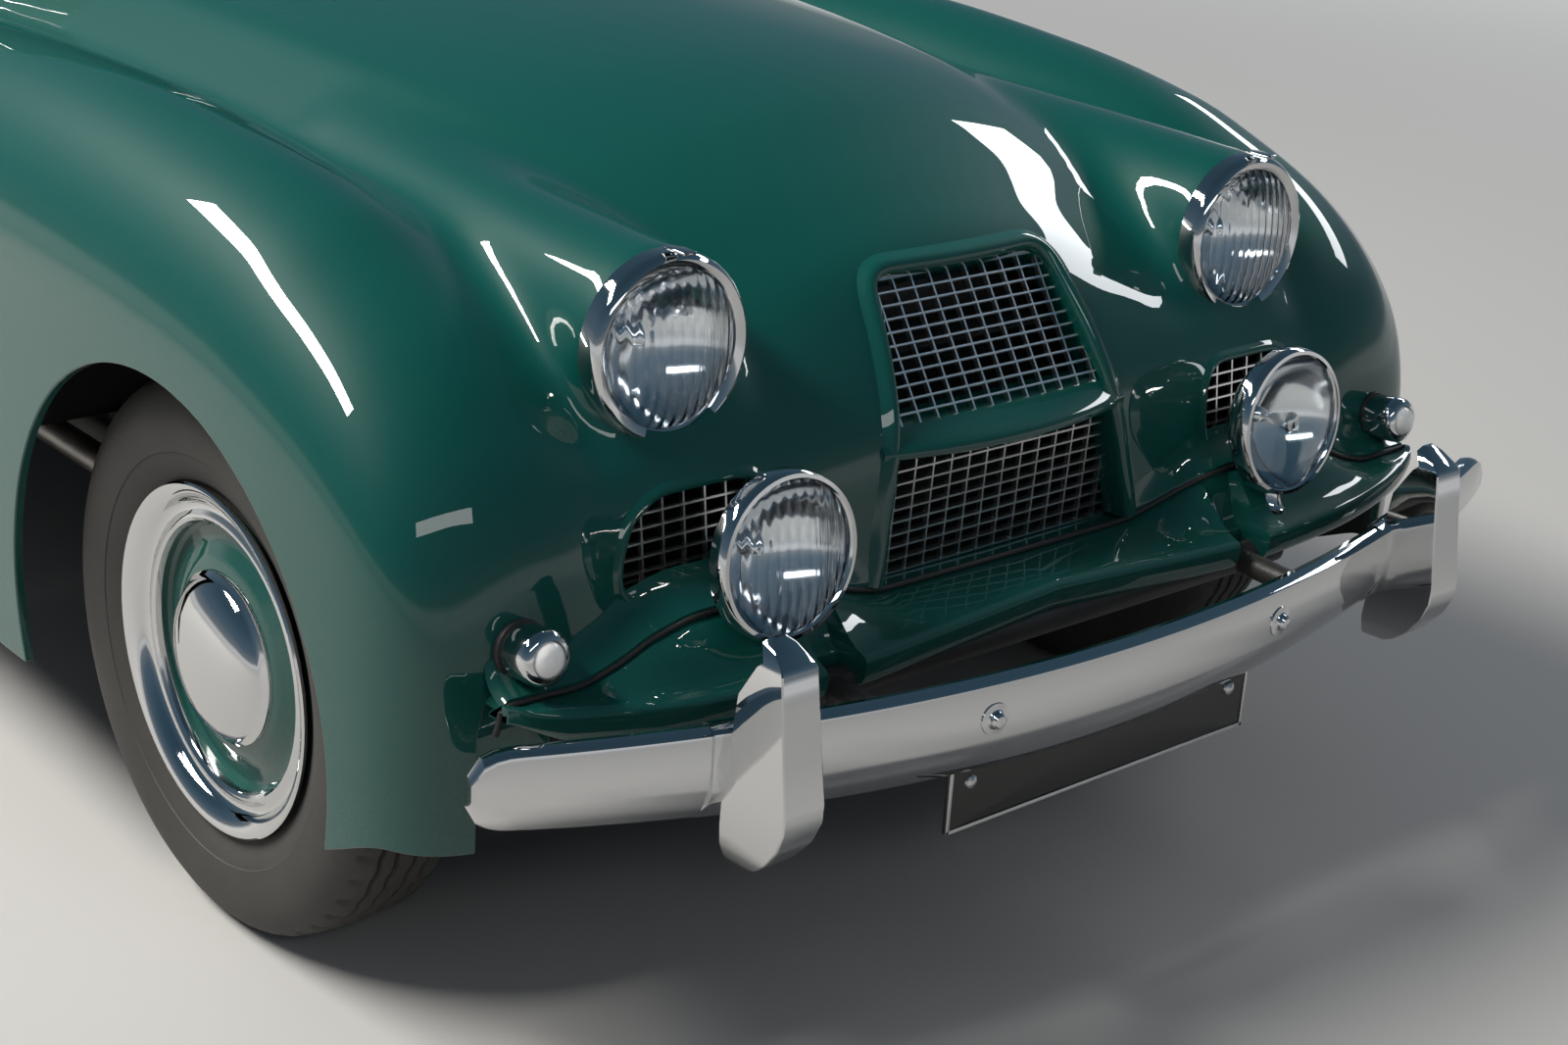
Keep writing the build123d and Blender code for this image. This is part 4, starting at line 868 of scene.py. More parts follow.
bpy.context.scene.view_settings.view_transform = "Standard"
add_camera()
add_floor()
add_sky()
add_lamp("key", (-4.4, 2.0, 6.6), (0, -0.6, 0.4), (7.0, 0.9), 1450, (1.0, 0.97, 0.92))
add_lamp("front", (-2.5, -9.0, 5.0), (0, -1.5, 0.5), (6.0, 0.9), 70)
add_lamp("side", (6.8, -1.0, 4.4), (0, -0.6, 0.6), (6.0, 0.8), 150, (0.94, 0.97, 1.0))
print("camera and lamps ready")

# %% [markdown]
# ## Finishes
# Polished enamel looks like a deep colour under a clear film: the colour scatters little light, and
# nearly all that is seen is mirrored in the film. So the paint here is a dark base under a smooth
# clear coat. Road dust gathers low on a car, so a mask dulls the coat towards the ground.

# %% Paint
GREEN = (0.0002, 0.052, 0.043)
DUST = (0.16, 0.15, 0.13, 1)
COAT_CLEAN, COAT_DUSTY = 0.012, 0.55


def green_paint():
    """Deep green under a clear coat, with a little road dust low on the wings."""
    m = finish_of("green_paint", GREEN, 0.0, 0.5, 1.0, COAT_CLEAN)
    tree = m.node_tree
    base = tree.nodes["Principled BSDF"]
    fill(base, Specular_IOR_Level=0.1)
    dust = add(tree, "Group")
    dust.node_tree = dust_group()
    mix = add(tree, "Mix")
    mix.data_type = "RGBA"
    fill(mix, A=(*GREEN, 1), B=DUST)
    rough = add(tree, "MapRange")
    fill(rough, To_Min=COAT_CLEAN, To_Max=COAT_DUSTY)
    joined(
        tree,
        (dust.outputs["Mask"], mix.inputs["Factor"]),
        (mix.outputs["Result"], base.inputs["Base Color"]),
        (dust.outputs["Mask"], rough.inputs["Value"]),
        (rough.outputs["Result"], base.inputs["Coat Roughness"]),
    )
    return m


def dust_group():
    """A mask that grows towards the ground and breaks up into specks."""
    tree = bpy.data.node_groups.new("low_dust", "ShaderNodeTree")
    sockets(tree, "Float", Top=0.62, Foot=0.25, Amount=0.32)
    tree.interface.new_socket("Mask", in_out="OUTPUT", socket_type="NodeSocketFloat")
    into, out = tree.nodes.new("NodeGroupInput"), tree.nodes.new("NodeGroupOutput")
    place = add(tree, "TexCoord")
    split = add(tree, "SeparateXYZ")
    fade = add(tree, "MapRange")
    fade.interpolation_type = "SMOOTHSTEP"
    fine, broad = add(tree, "TexNoise"), add(tree, "TexNoise")
    fill(fine, Scale=420.0)
    fill(broad, Scale=7.0)
    specks = add(tree, "MapRange")
    fill(specks, From_Min=0.35, From_Max=0.8)
    a, b, c = (add(tree, "Math") for _ in range(3))
    for node in (a, b, c):
        node.operation = "MULTIPLY"
    joined(
        tree,
        (place.outputs["Object"], split.inputs[0]),
        (place.outputs["Object"], fine.inputs["Vector"]),
        (place.outputs["Object"], broad.inputs["Vector"]),
        (split.outputs["Z"], fade.inputs["Value"]),
        (into.outputs["Top"], fade.inputs["From Min"]),
        (into.outputs["Foot"], fade.inputs["From Max"]),
        (fine.outputs["Fac"], specks.inputs["Value"]),
        (specks.outputs["Result"], a.inputs[0]),
        (broad.outputs["Fac"], a.inputs[1]),
        (a.outputs[0], b.inputs[0]),
        (fade.outputs["Result"], b.inputs[1]),
        (b.outputs[0], c.inputs[0]),
        (into.outputs["Amount"], c.inputs[1]),
        (c.outputs[0], out.inputs[0]),
    )
    return tree


def finish_of(
    name, colour, metallic, rough, coat=0.0, coat_rough=0.03, ior=None, transmission=0.0
):
    m = bpy.data.materials.new(name)
    m.use_nodes = True
    b = m.node_tree.nodes["Principled BSDF"]
    fill(b, Base_Color=(*colour, 1), Metallic=metallic, Roughness=rough, Coat_Weight=coat)
    fill(b, Coat_Roughness=coat_rough, Transmission_Weight=transmission)
    if ior:
        fill(b, IOR=ior)
    return m


PAINT = green_paint()
UNDER = finish_of("black_underside", (0.012, 0.012, 0.012), 0.0, 0.6)
CHROME = finish_of("polished_chrome", (0.62, 0.625, 0.63), 1.0, 0.035)
BRIGHT = finish_of("plated_mesh", (0.90, 0.90, 0.89), 1.0, 0.3)
RUBBER = finish_of("black_rubber", (0.012, 0.012, 0.012), 0.0, 0.55)
GLASS = finish_of("window_glass", (0.90, 0.96, 0.94), 0.0, 0.0, 0.0, 0.03, 1.45, 1.0)
RED = finish_of("red_glass", (0.45, 0.008, 0.008), 0.0, 0.12, 1.0, 0.03)
print("plain finishes", len(bpy.data.materials))

# %% [markdown]
# ## Hide, cloth, wood and cast metal
# Hide, carpet, wood, cast iron and tyre rubber all carry a fine grain and drift a little in tone.
# An image would have to be unwrapped for each piece, so the grain is worked out in the material.
# One node group serves them all, and each finish only sets its size, depth and two tones.

# %% Grained finishes
def grain_group():
    """Fine grain at a chosen size: a height for the bump and a mask that varies the colour."""
    tree = bpy.data.node_groups.new("fine_grain", "ShaderNodeTree")
    sockets(tree, "Float", Scale=300.0, Stretch=1.0)
    for name in ("Height", "Mask"):
        tree.interface.new_socket(name, in_out="OUTPUT", socket_type="NodeSocketFloat")
    into, out = tree.nodes.new("NodeGroupInput"), tree.nodes.new("NodeGroupOutput")
    place, pull = add(tree, "TexCoord"), add(tree, "VectorMath")
    shape = add(tree, "CombineXYZ")
    pull.operation = "MULTIPLY"
    shape.inputs["X"].default_value = shape.inputs["Z"].default_value = 1.0
    cells, broad = add(tree, "TexVoronoi"), add(tree, "TexNoise")
    fill(broad, Scale=9.0)
    joined(
        tree,
        (into.outputs["Stretch"], shape.inputs["Y"]),
        (place.outputs["Object"], pull.inputs[0]),
        (shape.outputs[0], pull.inputs[1]),
        (pull.outputs[0], cells.inputs["Vector"]),
        (into.outputs["Scale"], cells.inputs["Scale"]),
        (pull.outputs[0], broad.inputs["Vector"]),
        (cells.outputs["Distance"], out.inputs["Height"]),
        (broad.outputs["Fac"], out.inputs["Mask"]),
    )
    return tree


GRAIN = grain_group()


def grained(name, dark, light, rough, scale, depth, stretch=1.0, coat=0.0, metallic=0.0):
    """A finish whose colour drifts between two tones and whose surface carries the grain."""
    m = finish_of(name, dark, metallic, rough, coat, 0.15)
    tree = m.node_tree
    base = tree.nodes["Principled BSDF"]
    grain = add(tree, "Group")
    grain.node_tree = GRAIN
    fill(grain, Scale=scale, Stretch=stretch)
    tone = add(tree, "Mix")
    tone.data_type = "RGBA"
    fill(tone, A=(*dark, 1), B=(*light, 1))
    bump = add(tree, "Bump")
    fill(bump, Strength=0.5, Distance=depth)
    joined(
        tree,
        (grain.outputs["Mask"], tone.inputs["Factor"]),
        (tone.outputs["Result"], base.inputs["Base Color"]),
        (grain.outputs["Height"], bump.inputs["Height"]),
        (bump.outputs["Normal"], base.inputs["Normal"]),
    )
    return m


TRIM = grained("tan_hide", (0.16, 0.075, 0.03), (0.27, 0.13, 0.055), 0.42, 260.0, 0.0006)
CARPET = grained("dark_carpet", (0.012, 0.016, 0.014), (0.03, 0.036, 0.03), 0.95, 700.0, 0.003)
LINING = grained("roof_cloth", (0.42, 0.38, 0.31), (0.50, 0.46, 0.38), 0.9, 900.0, 0.0006)
WALNUT = grained("walnut", (0.10, 0.038, 0.014), (0.26, 0.11, 0.04), 0.3, 120.0, 0.0002, 6.0, 1.0)
CHASSIS_TONES = (0.012, 0.012, 0.013), (0.030, 0.028, 0.026)
FRAME_BLACK = grained("chassis_black", *CHASSIS_TONES, 0.45, 180.0, 0.0004)
CAST = grained("cast_metal", (0.05, 0.05, 0.05), (0.11, 0.10, 0.09), 0.55, 400.0, 0.0012, metallic=0.6)
STEEL = grained("plain_steel", (0.20, 0.19, 0.18), (0.33, 0.31, 0.29), 0.4, 220.0, 0.0004, metallic=1.0)
PLATE_BLACK = grained("plate_black", (0.006, 0.006, 0.006), (0.011, 0.011, 0.011), 0.25, 60.0, 0.0001)
TYRE = grained("tyre_rubber", (0.016, 0.015, 0.014), (0.040, 0.037, 0.033), 0.7, 420.0, 0.0004)
EDGE_TONES = (0.50, 0.50, 0.50), (0.62, 0.62, 0.62)
PLATE_EDGE = grained("plate_edge", *EDGE_TONES, 0.3, 200.0, 0.0002, metallic=1.0)
print("all finishes", len(bpy.data.materials))

# %% [markdown]
# ## The front panel
# On this car the bonnet, the wings and the nose are one big pressing that tilts forward as a whole.
# It has a wheel arch on each side, a seam over the apron and three grille openings. It is cut from
# half of the skin and mirrored, so that both sides agree to a hair.

# %% Front panel shape
LAMP_X, LAMP_Z, LAMP_HOLE = 481.0, 816.0, 92.0
SEAM_END_X = 774.0
SEAM_REAR_Y = -380.0
SCREEN_CORNER, DOOR_GLASS_CORNER, REAR_GLASS_CORNER = 31.5, 45.0, 72.0
LID_CORNER = 70.0
MAIN_CORNER, SIDE_CORNER = 34.0, 26.0
OPENING_REAR_Y = -300.0
CLIP_SHEET, DOOR_SHEET, BODY_SHEET, LID_SHEET = 12.0, 44.0, 10.0, 20.0


def table_curve(table, x):
    """The height of a smooth curve through (place, height) rows."""
    t = np.asarray(table, float)
    return smooth_rows(t, x)[:, 0]


def above_low_edge(p):
    return p[:, 2] - table_curve(LOW_EDGE, p[:, 1])


def above_seam(p):
    d = p[:, 2] - table_curve(SEAM, np.abs(p[:, 0]))
    side = np.abs(p[:, 0]) - SEAM_END_X
    return np.where(p[:, 1] < SEAM_REAR_Y, np.maximum(d, side), 60.0)


def cut_all(v, f, *measures):
    """Trims with one measure after another."""
    for measure in measures:
        v, f = trim(v, f, measure)
    return v, f


def outside(measure):
    return lambda p: -measure(p)


def lamp_hole(p):
    """Outside the round hole for a headlamp."""
    away = np.hypot(p[:, 0] - LAMP_X, p[:, 2] - LAMP_Z) - LAMP_HOLE
    return np.where(p[:, 1] < -400, away, 60.0)


main_hole = front_view(MAIN_OPENING, MAIN_CORNER, OPENING_REAR_Y)
side_hole = front_view(SIDE_OPENING, SIDE_CORNER, OPENING_REAR_Y)
clip_v, clip_f = cut_all(
    HALF_V,
    HALF_F,
    lambda p: -behind_clip(p) - GAP,
    above_low_edge,
    outside(arch(0.0)),
    above_seam,
    outside(main_hole),
    outside(side_hole),
    lamp_hole,
)
clip_v, clip_f = whole(clip_v, clip_f)
print("front panel", len(clip_v), len(clip_f))
panel("front_panel", clip_v, clip_f, CLIP_SHEET, "front_clip", [PAINT, UNDER], ("front_clip",))

# %% [markdown]
# ## Doors, body and boot lid
# The rest of the skin is shared out between the doors, the boot lid and the body round them. All
# come from the one surface, so a highlight runs on across the shut lines as it does on the car.
# The body's sheet has no inner face: the lining of the cabin covers its back.

# %% Body panels
DOOR_REAR_Y = 2118.0
in_screen = front_view(SCREEN, SCREEN_CORNER, 1700)
in_quarter = side_view(QUARTER, DOOR_GLASS_CORNER)
in_rear = plan_view(REAR_GLASS, REAR_GLASS_CORNER, 900)
in_door_glass = side_view(DOOR_GLASS, DOOR_GLASS_CORNER)
door_v, door_f = cut_all(
    HALF_V,
    HALF_F,
    side_view(inset_outline(DOOR, GAP), 36),
    lambda p: DOOR_REAR_Y - p[:, 1],
    lambda p: -pillar_foot(p) - GAP,
    outside(in_door_glass),
)
for side, way in SIDES:
    v, f = (door_v, door_f) if way > 0 else mirror_x(door_v, door_f)
    body = f"door_{side}"
    panel(f"door_skin_{side}", v, f, DOOR_SHEET, body, [PAINT, TRIM], replaces=(body,))
body_v, body_f = cut_all(
    HALF_V,
    HALF_F,
    lambda p: behind_clip(p) - GAP,
    above_low_edge,
    outside(arch(WHEELBASE)),
    lambda p: np.maximum(-side_view(DOOR, 40)(p), pillar_foot(p)),
    outside(in_quarter),
    outside(in_rear),
    outside(plan_view(LID, LID_CORNER, 500)),
    outside(in_screen),
)
body_v, body_f = whole(body_v, body_f)
panel("body_skin", body_v, body_f, BODY_SHEET, "car", [PAINT], replaces=("body_tub", "roof_shell"))
narrow_lid = [(x - math.copysign(5, x), y) for x, y in inset_outline(LID, GAP)]
lid_v, lid_f = cut_all(HALF_V, HALF_F, plan_view(narrow_lid, 66, 500))
lid_v, lid_f = whole(lid_v, lid_f)
panel("boot_skin", lid_v, lid_f, LID_SHEET, "boot_lid", [PAINT, UNDER], replaces=("boot_lid",))
print("panels ready")

# %% [markdown]
# ## Turned, swept and boxed pieces
# Hardware on a car is spun, rolled or pressed, so three small builders make nearly all of it: a
# profile turned about an axis, a profile swept along a path, and a block with rounded edges. They
# work on arrays, which is quicker than one modifier for each bolt, and take millimetres.

# %% Builders for hardware
def shaded(ob, angle):
    """Smooth shading that keeps edges sharper than the angle."""
    ob.data.set_sharp_from_angle(angle=math.radians(angle))
    return ob


def axes_for(direction):
    """Two unit vectors square to a direction, the second as near upright as can be."""
    d = np.asarray(direction, float)
    d = d / np.linalg.norm(d)
    up = np.array([0, 0, 1.0]) if abs(d[2]) < 0.9 else np.array([0, 1.0, 0])
    u = np.cross(up, d)
    u /= np.linalg.norm(u)
    return u, np.cross(d, u), d


def turned_arrays(profile, centre, direction, count=72):
    """Rings of a profile of (along, radius, finish) rows; finish is for the span after the row."""
    u, w, d = axes_for(direction)
    t = np.arange(count) * 2 * math.pi / count
    ring = np.cos(t)[:, None] * u + np.sin(t)[:, None] * w
    rings = [np.asarray(centre) + d * row[0] + ring * max(row[1], 0.01) for row in profile]
    faces, index = [], []
    k = np.arange(count)
    for i in range(len(profile) - 1):
        a, b = i * count, (i + 1) * count
        faces.append(np.stack([a + k, a + (k + 1) % count, b + (k + 1) % count, b + k], 1))
        index.append(np.full(count, profile[i][2] if len(profile[i]) > 2 else 0))
    return np.concatenate(rings), np.concatenate(faces), np.concatenate(index)


def swept_arrays(path, across, up, profile, closed=False):
    """A closed profile of (a, b) pairs carried along a path with its own across and up vectors."""
    path, across, up = (np.asarray(x, float) for x in (path, across, up))
    shape = np.asarray(profile, float)
    if shape.ndim == 2:
        shape = np.repeat(shape[None], len(path), 0)
    n, m = shape.shape[:2]
    points = path[:, None] + across[:, None] * shape[..., :1] + up[:, None] * shape[..., 1:2]
    rows = n if closed else n - 1
    i, j = np.meshgrid(np.arange(rows), np.arange(m), indexing="ij")
    i, j = i.ravel(), j.ravel()
    i2, j2 = (i + 1) % n, (j + 1) % m
    faces = np.stack([i * m + j, i2 * m + j, i2 * m + j2, i * m + j2], 1)
    index = np.zeros(len(faces))
    points = points.reshape(-1, 3)
    if not closed:
        mid = [points[:m].mean(0), points[-m:].mean(0)]
        a, b = len(points), len(points) + 1
        points = np.concatenate([points, mid])
        k = np.arange(m)
        first = np.stack([np.full(m, a), k, (k + 1) % m], 1)
        last = np.stack([np.full(m, b), (n - 1) * m + (k + 1) % m, (n - 1) * m + k], 1)
        return points, [faces, first, last], np.concatenate([index, np.zeros(2 * m)])
    return points, [faces], index


def build_piece(name, parts, mats, body, replaces=(), angle=32):
    """Several (points, faces, finish index) sets as one object, with every face turned outwards."""
    points, faces, index, offset = [], [], [], 0
    for p, f, k in parts:
        groups = f if isinstance(f, list) else [f]
        for g in groups:
            faces.append(np.asarray(g) + offset)
        points.append(p)
        index.append(np.asarray(k))
        offset += len(p)
    ob = mesh_from(name, np.concatenate(points), faces, None, mats, np.concatenate(index))
    bm = bmesh.new()
    bm.from_mesh(ob.data)
    bmesh.ops.recalc_face_normals(bm, faces=bm.faces)
    bm.to_mesh(ob.data)
    bm.free()
    return given(shaded(ob, angle), body, replaces)


def box_arrays(x0, x1, y0, y1, z0, z1, r, finish=0):
    """A block with small round edges, as a swept outline with chamfered ends."""
    turn = [math.radians(a) for a in (0, 30, 60, 90)]
    right, left, top, foot = x1 - r, x0 + r, z1 - r, z0 + r
    outline = []
    for cx, cz, start in ((right, top, 0), (left, top, 90), (left, foot, 180), (right, foot, 270)):
        for a in turn:
            b = a + math.radians(start)
            outline.append((cx + r * math.cos(b), cz + r * math.sin(b)))
    outline = np.array(outline)
    mid = np.array([(x0 + x1) / 2, (z0 + z1) / 2])
    shapes, ys = [], []
    for a in turn:
        shapes.append(outline - np.sign(outline - mid) * r * (1 - math.sin(a)))
        ys.append(y0 + r * (1 - math.cos(a)))
    for a in reversed(turn):
        shapes.append(outline - np.sign(outline - mid) * r * (1 - math.sin(a)))
        ys.append(y1 - r * (1 - math.cos(a)))
    path = np.array([(0, y, 0) for y in ys])
    points, faces, index = straight_sweep(path, (1.0, 0, 0), (0, 0, 1.0), shapes)
    return points, faces, index + finish


def straight_sweep(path, across, up, shapes):
    """A sweep whose across and up stay the same all along."""
    n = len(path)
    return swept_arrays(path, np.tile(across, (n, 1)), np.tile(up, (n, 1)), shapes)


def tube_arrays(path, radius, sides):
    """A round tube along a path."""
    path = np.asarray(path, float)
    along = np.gradient(path, axis=0)
    along /= np.linalg.norm(along, axis=1)[:, None]
    frames = [axes_for(d) for d in along]
    t = np.arange(sides) * 2 * math.pi / sides
    ring = np.stack([np.cos(t), np.sin(t)], 1) * radius
    return swept_arrays(path, [f[0] for f in frames], [f[1] for f in frames], ring)


def both_sides(parts):
    out = list(parts)
    for p, f, k in parts:
        groups = f if isinstance(f, list) else [f]
        out.append((p * [-1, 1, 1], [np.asarray(g)[:, ::-1] for g in groups], k))
    return out


def lengths_along(path):
    """How far each point lies along the path."""
    return np.concatenate([[0], np.cumsum(np.linalg.norm(np.diff(path, axis=0), axis=1))])


def spline(points, count):
    """A smooth curve through points, evenly spaced."""
    p = np.asarray(points, float)
    t = lengths_along(p)
    q = smooth_rows(np.column_stack([t, p]), np.linspace(0, t[-1], 400))
    s = lengths_along(q)
    u = np.linspace(0, s[-1], count)
    return np.column_stack([np.interp(u, s, q[:, k]) for k in range(3)])


print("builders ready")

# %% [markdown]
# ## Edges of the openings
# Round each grille the sheet rises to a rolled lip and turns in behind, which stiffens the nose and
# hides the ends of the strips. The loop of the opening is read from the trimmed skin and smoothed,
# and one profile is carried along it. So the lip can't stand away from the panel.

# %% Loops along a trimmed edge
def edge_chain(v, f, wanted, count, closed, soften=6):
    """The edge points where wanted is true, in order, evenly spaced and smooth."""
    rim, n, out = edge_frame(v, f)
    ok = wanted(v)
    rim = rim[ok[rim].all(1)]
    after = {int(a): int(b) for a, b in rim}
    heads = [a for a in after if a not in set(after.values())]
    best = []
    for start in heads if heads else list(after)[:1]:
        chain = [start]
        while chain[-1] in after and after[chain[-1]] != start and len(chain) < 4000:
            chain.append(after[chain[-1]])
        if len(chain) > len(best):
            best = chain
    path = v[best]
    ring = np.concatenate([path, path[:1]]) if closed else path
    s = lengths_along(ring)
    u = np.linspace(0, s[-1], count + 1)[:-1] if closed else np.linspace(0, s[-1], count)
    path = np.column_stack([np.interp(u, s, ring[:, k]) for k in range(3)])
    for _ in range(soften):
        near = (np.roll(path, 1, 0) + np.roll(path, -1, 0)) / 2
        moved = path * 0.5 + near * 0.5
        if not closed:
            moved[0], moved[-1] = path[0], path[-1]
        path = moved
    normal = normals_at(path)
    along = np.roll(path, -1, 0) - np.roll(path, 1, 0)
    if not closed:
        along[0], along[-1] = path[1] - path[0], path[-1] - path[-2]
    along /= np.linalg.norm(along, axis=1)[:, None]
    away = np.cross(along, normal)
    away /= np.linalg.norm(away, axis=1)[:, None]
    return path, away, normal


def lip_arrays(path, away, normal, profile, closed, finish=0):
    """A profile of (away from the opening, out of the skin) pairs along an edge chain."""
    points, faces, index = swept_arrays(path, away, normal, profile, closed)
    return points, faces, index + finish


def on_main_edge(p):
    return (np.abs(main_hole(p)) < 1.5) & (p[:, 2] > 500)


def on_side_edge(p):
    return (np.abs(side_hole(p)) < 1.5) & (p[:, 0] > 0)


# across the edge, out of the skin
ROLLED_LIP = (
    (-20, -1.5), (-15, 1.2), (-10, 4.6), (-5, 7.4), (0, 8.6), (5, 7.2), (8.5, 3.2),
    (9.5, -2), (9.5, -14), (9, -34), (5, -35), (3, -14), (-4, -4), (-14, -4),
)
MAIN_LIP = edge_chain(clip_v, clip_f, on_main_edge, 150, False)
SIDE_LIP = edge_chain(clip_v, clip_f, on_side_edge, 110, True)
print("side lip from", SIDE_LIP[0].min(0).round(), "to", SIDE_LIP[0].max(0).round())
parts = [lip_arrays(*MAIN_LIP, ROLLED_LIP, False)]
side_part = lip_arrays(*SIDE_LIP, [(a * 0.55, b * 0.5) for a, b in ROLLED_LIP], True)
parts += both_sides([side_part])
build_piece("opening_lips", parts, [PAINT], "front_clip", angle=60)
print("lips ready")

# %% [markdown]
# ## The bar between the two meshes
# A painted bar crosses the centre opening and parts the leaning mesh from the upright one. Its front
# edge bows forward, and its top slopes up to the mesh. One profile that grows towards the middle is
# swept across, because a bent box would lose its crisp edge.

# %% Shelf bar
def shelf_bar():
    """The bar's profile at 41 stations from side to side."""
    path, shapes = [], []
    for t in np.linspace(-1, 1, 41):
        front = 12 + 30 * (1 - t * t)
        path.append((t * 204.0, -500.0, 662.0))
        top = [(44, 24), (0, 20), (12 - front, 7), (4 - front, 2), (-front, -4)]
        shapes.append(top + [(1 - front, -11), (8 - front, -15), (10, -15), (44, -15)])
    return straight_sweep(path, (0, 1.0, 0), (0, 0, 1.0), shapes)


build_piece("shelf_bar", [shelf_bar()], [PAINT], "front_clip", ("main_grille",), angle=50)
print("shelf bar ready")

# %% [markdown]
# ## Mesh of the grilles
# The mesh is made of thin plated strips that cross on edge, like the dividers of an egg box. Strips
# that repeat are what Geometry Nodes are good at: one tree lays upright and level strips on two
# lines of points, and its inputs set their number and size. The result becomes a plain mesh, leans
# back with the nose and is cut to the outline behind the lip.

# %% Grille mesh tree
CELL = (30.0, 16.3)


def strip_tree():
    tree = bpy.data.node_groups.new("grille_strips", "GeometryNodeTree")
    face = tree.interface
    sockets(tree, "Int", Columns=10, Rows=10)
    sockets(tree, "Float", **{"Cell Width": 0.03, "Cell Height": 0.016}, Strip=0.003, Depth=0.008)
    face.new_socket("Finish", in_out="INPUT", socket_type="NodeSocketMaterial")
    face.new_socket("Geometry", in_out="OUTPUT", socket_type="NodeSocketGeometry")
    n, link = tree.nodes, tree.links
    given_in = n.new("NodeGroupInput")

    def fed(node, values):
        """The node's first output, with a number or a link in each of its inputs."""
        for socket, value in zip(node.inputs, values):
            if isinstance(value, (int, float)):
                socket.default_value = value
            else:
                link.new(value, socket)
        return node.outputs[0]

    def times(a, b):
        node = n.new("ShaderNodeMath")
        node.operation = "MULTIPLY"
        return fed(node, (a, b))

    def plus(a, b):
        return fed(n.new("ShaderNodeMath"), (a, b))

    def vector(x, y=0.0, z=0.0):
        return fed(n.new("ShaderNodeCombineXYZ"), (x, y, z))

    o = given_in.outputs
    wide = times(o["Columns"], o["Cell Width"])
    high = times(o["Rows"], o["Cell Height"])
    join = n.new("GeometryNodeJoinGeometry")
    upright = vector(o["Strip"], times(o["Depth"], 0.8), high)
    level = vector(wide, o["Depth"], o["Strip"])
    from_left, from_foot = vector(times(wide, -0.5)), vector(0.0, 0.0, times(high, -0.5))
    for count, start, step, size in (
        (o["Columns"], from_left, vector(o["Cell Width"]), upright),
        (o["Rows"], from_foot, vector(0.0, 0.0, o["Cell Height"]), level),
    ):
        line = n.new("GeometryNodeMeshLine")
        link.new(plus(count, 1), line.inputs["Count"])
        link.new(start, line.inputs["Start Location"])
        link.new(step, line.inputs["Offset"])
        bar = n.new("GeometryNodeMeshCube")
        link.new(size, bar.inputs["Size"])
        put = n.new("GeometryNodeInstanceOnPoints")
        link.new(line.outputs["Mesh"], put.inputs["Points"])
        link.new(bar.outputs["Mesh"], put.inputs["Instance"])
        link.new(put.outputs["Instances"], join.inputs[0])
    real = n.new("GeometryNodeRealizeInstances")
    finish = n.new("GeometryNodeSetMaterial")
    link.new(join.outputs[0], real.inputs[0])
    link.new(real.outputs[0], finish.inputs["Geometry"])
    link.new(o["Finish"], finish.inputs["Material"])
    link.new(finish.outputs[0], n.new("NodeGroupOutput").inputs[0])
    return tree


STRIPS = strip_tree()


def run_tree(name, tree, **values):
    """An empty mesh takes the tree as a modifier; what comes out is kept as a plain mesh."""
    carrier = linked(name + "_carrier", bpy.data.meshes.new(name + "_carrier"))
    mod = carrier.modifiers.new("strips", "NODES")
    mod.node_group = tree
    for item in tree.interface.items_tree:
        if item.in_out == "INPUT" and item.name.replace(" ", "_").lower() in values:
            mod[item.identifier] = values[item.name.replace(" ", "_").lower()]
    graph = bpy.context.evaluated_depsgraph_get()
    mesh = bpy.data.meshes.new_from_object(carrier.evaluated_get(graph))
    mesh.name = name
    bpy.data.objects.remove(carrier)
    return mesh


def grille(name, outline, lean_from, lean_to, columns, rows, strip, depth, shift=0.0):
    """Strips in the plane from one (y, z) to another, cut to an outline of (x, z) points."""
    cell_width, cell_height = CELL[0] / 1000, CELL[1] / 1000
    mesh = run_tree(
        name,
        STRIPS,
        columns=columns,
        rows=rows,
        cell_width=cell_width,
        cell_height=cell_height,
        strip=strip / 1000,
        depth=depth / 1000,
        finish=BRIGHT,
    )
    lean = math.atan2(lean_to[0] - lean_from[0], lean_to[1] - lean_from[1])
    mid_x = (min(p[0] for p in outline) + max(p[0] for p in outline)) / 2
    mid_z = (min(p[1] for p in outline) + max(p[1] for p in outline)) / 2
    mid_y = lean_from[0] + (mid_z - lean_from[1]) * math.tan(lean)
    place = ((mid_x + shift) / 1000, mid_y / 1000 + AXLE_Y, mid_z / 1000)
    mesh.transform(Matrix.Translation(place) @ Matrix.Rotation(-lean, 4, "X"))
    bm = bmesh.new()
    bm.from_mesh(mesh)
    for (x0, z0), (x1, z1) in zip(outline, outline[1:] + outline[:1]):
        nx, nz = z1 - z0, -(x1 - x0)
        if nx * (mid_x - x0) + nz * (mid_z - z0) > 0:
            nx, nz = -nx, -nz
        cut = bmesh.ops.bisect_plane(
            bm,
            geom=bm.verts[:] + bm.edges[:] + bm.faces[:],
            plane_co=(x0 / 1000, 0, z0 / 1000),
            plane_no=(nx, 0, nz),
            clear_outer=True,
        )
        edges = [e for e in cut["geom_cut"] if isinstance(e, bmesh.types.BMEdge) and e.is_boundary]
        bmesh.ops.holes_fill(bm, edges=edges, sides=8)
    bm.to_mesh(mesh)
    bm.free()
    mesh.materials.clear()
    mesh.materials.append(BRIGHT)
    return mesh


def grown(points, amount):
    """The outline with every side moved outwards."""
    return inset_outline(points, -amount)


def piece_of(name, mesh, body, replaces):
    given(linked(name, mesh), body, replaces)


def half_width(z):
    """The centre opening narrows upwards."""
    return 228 - (z - 440) * 82 / 404


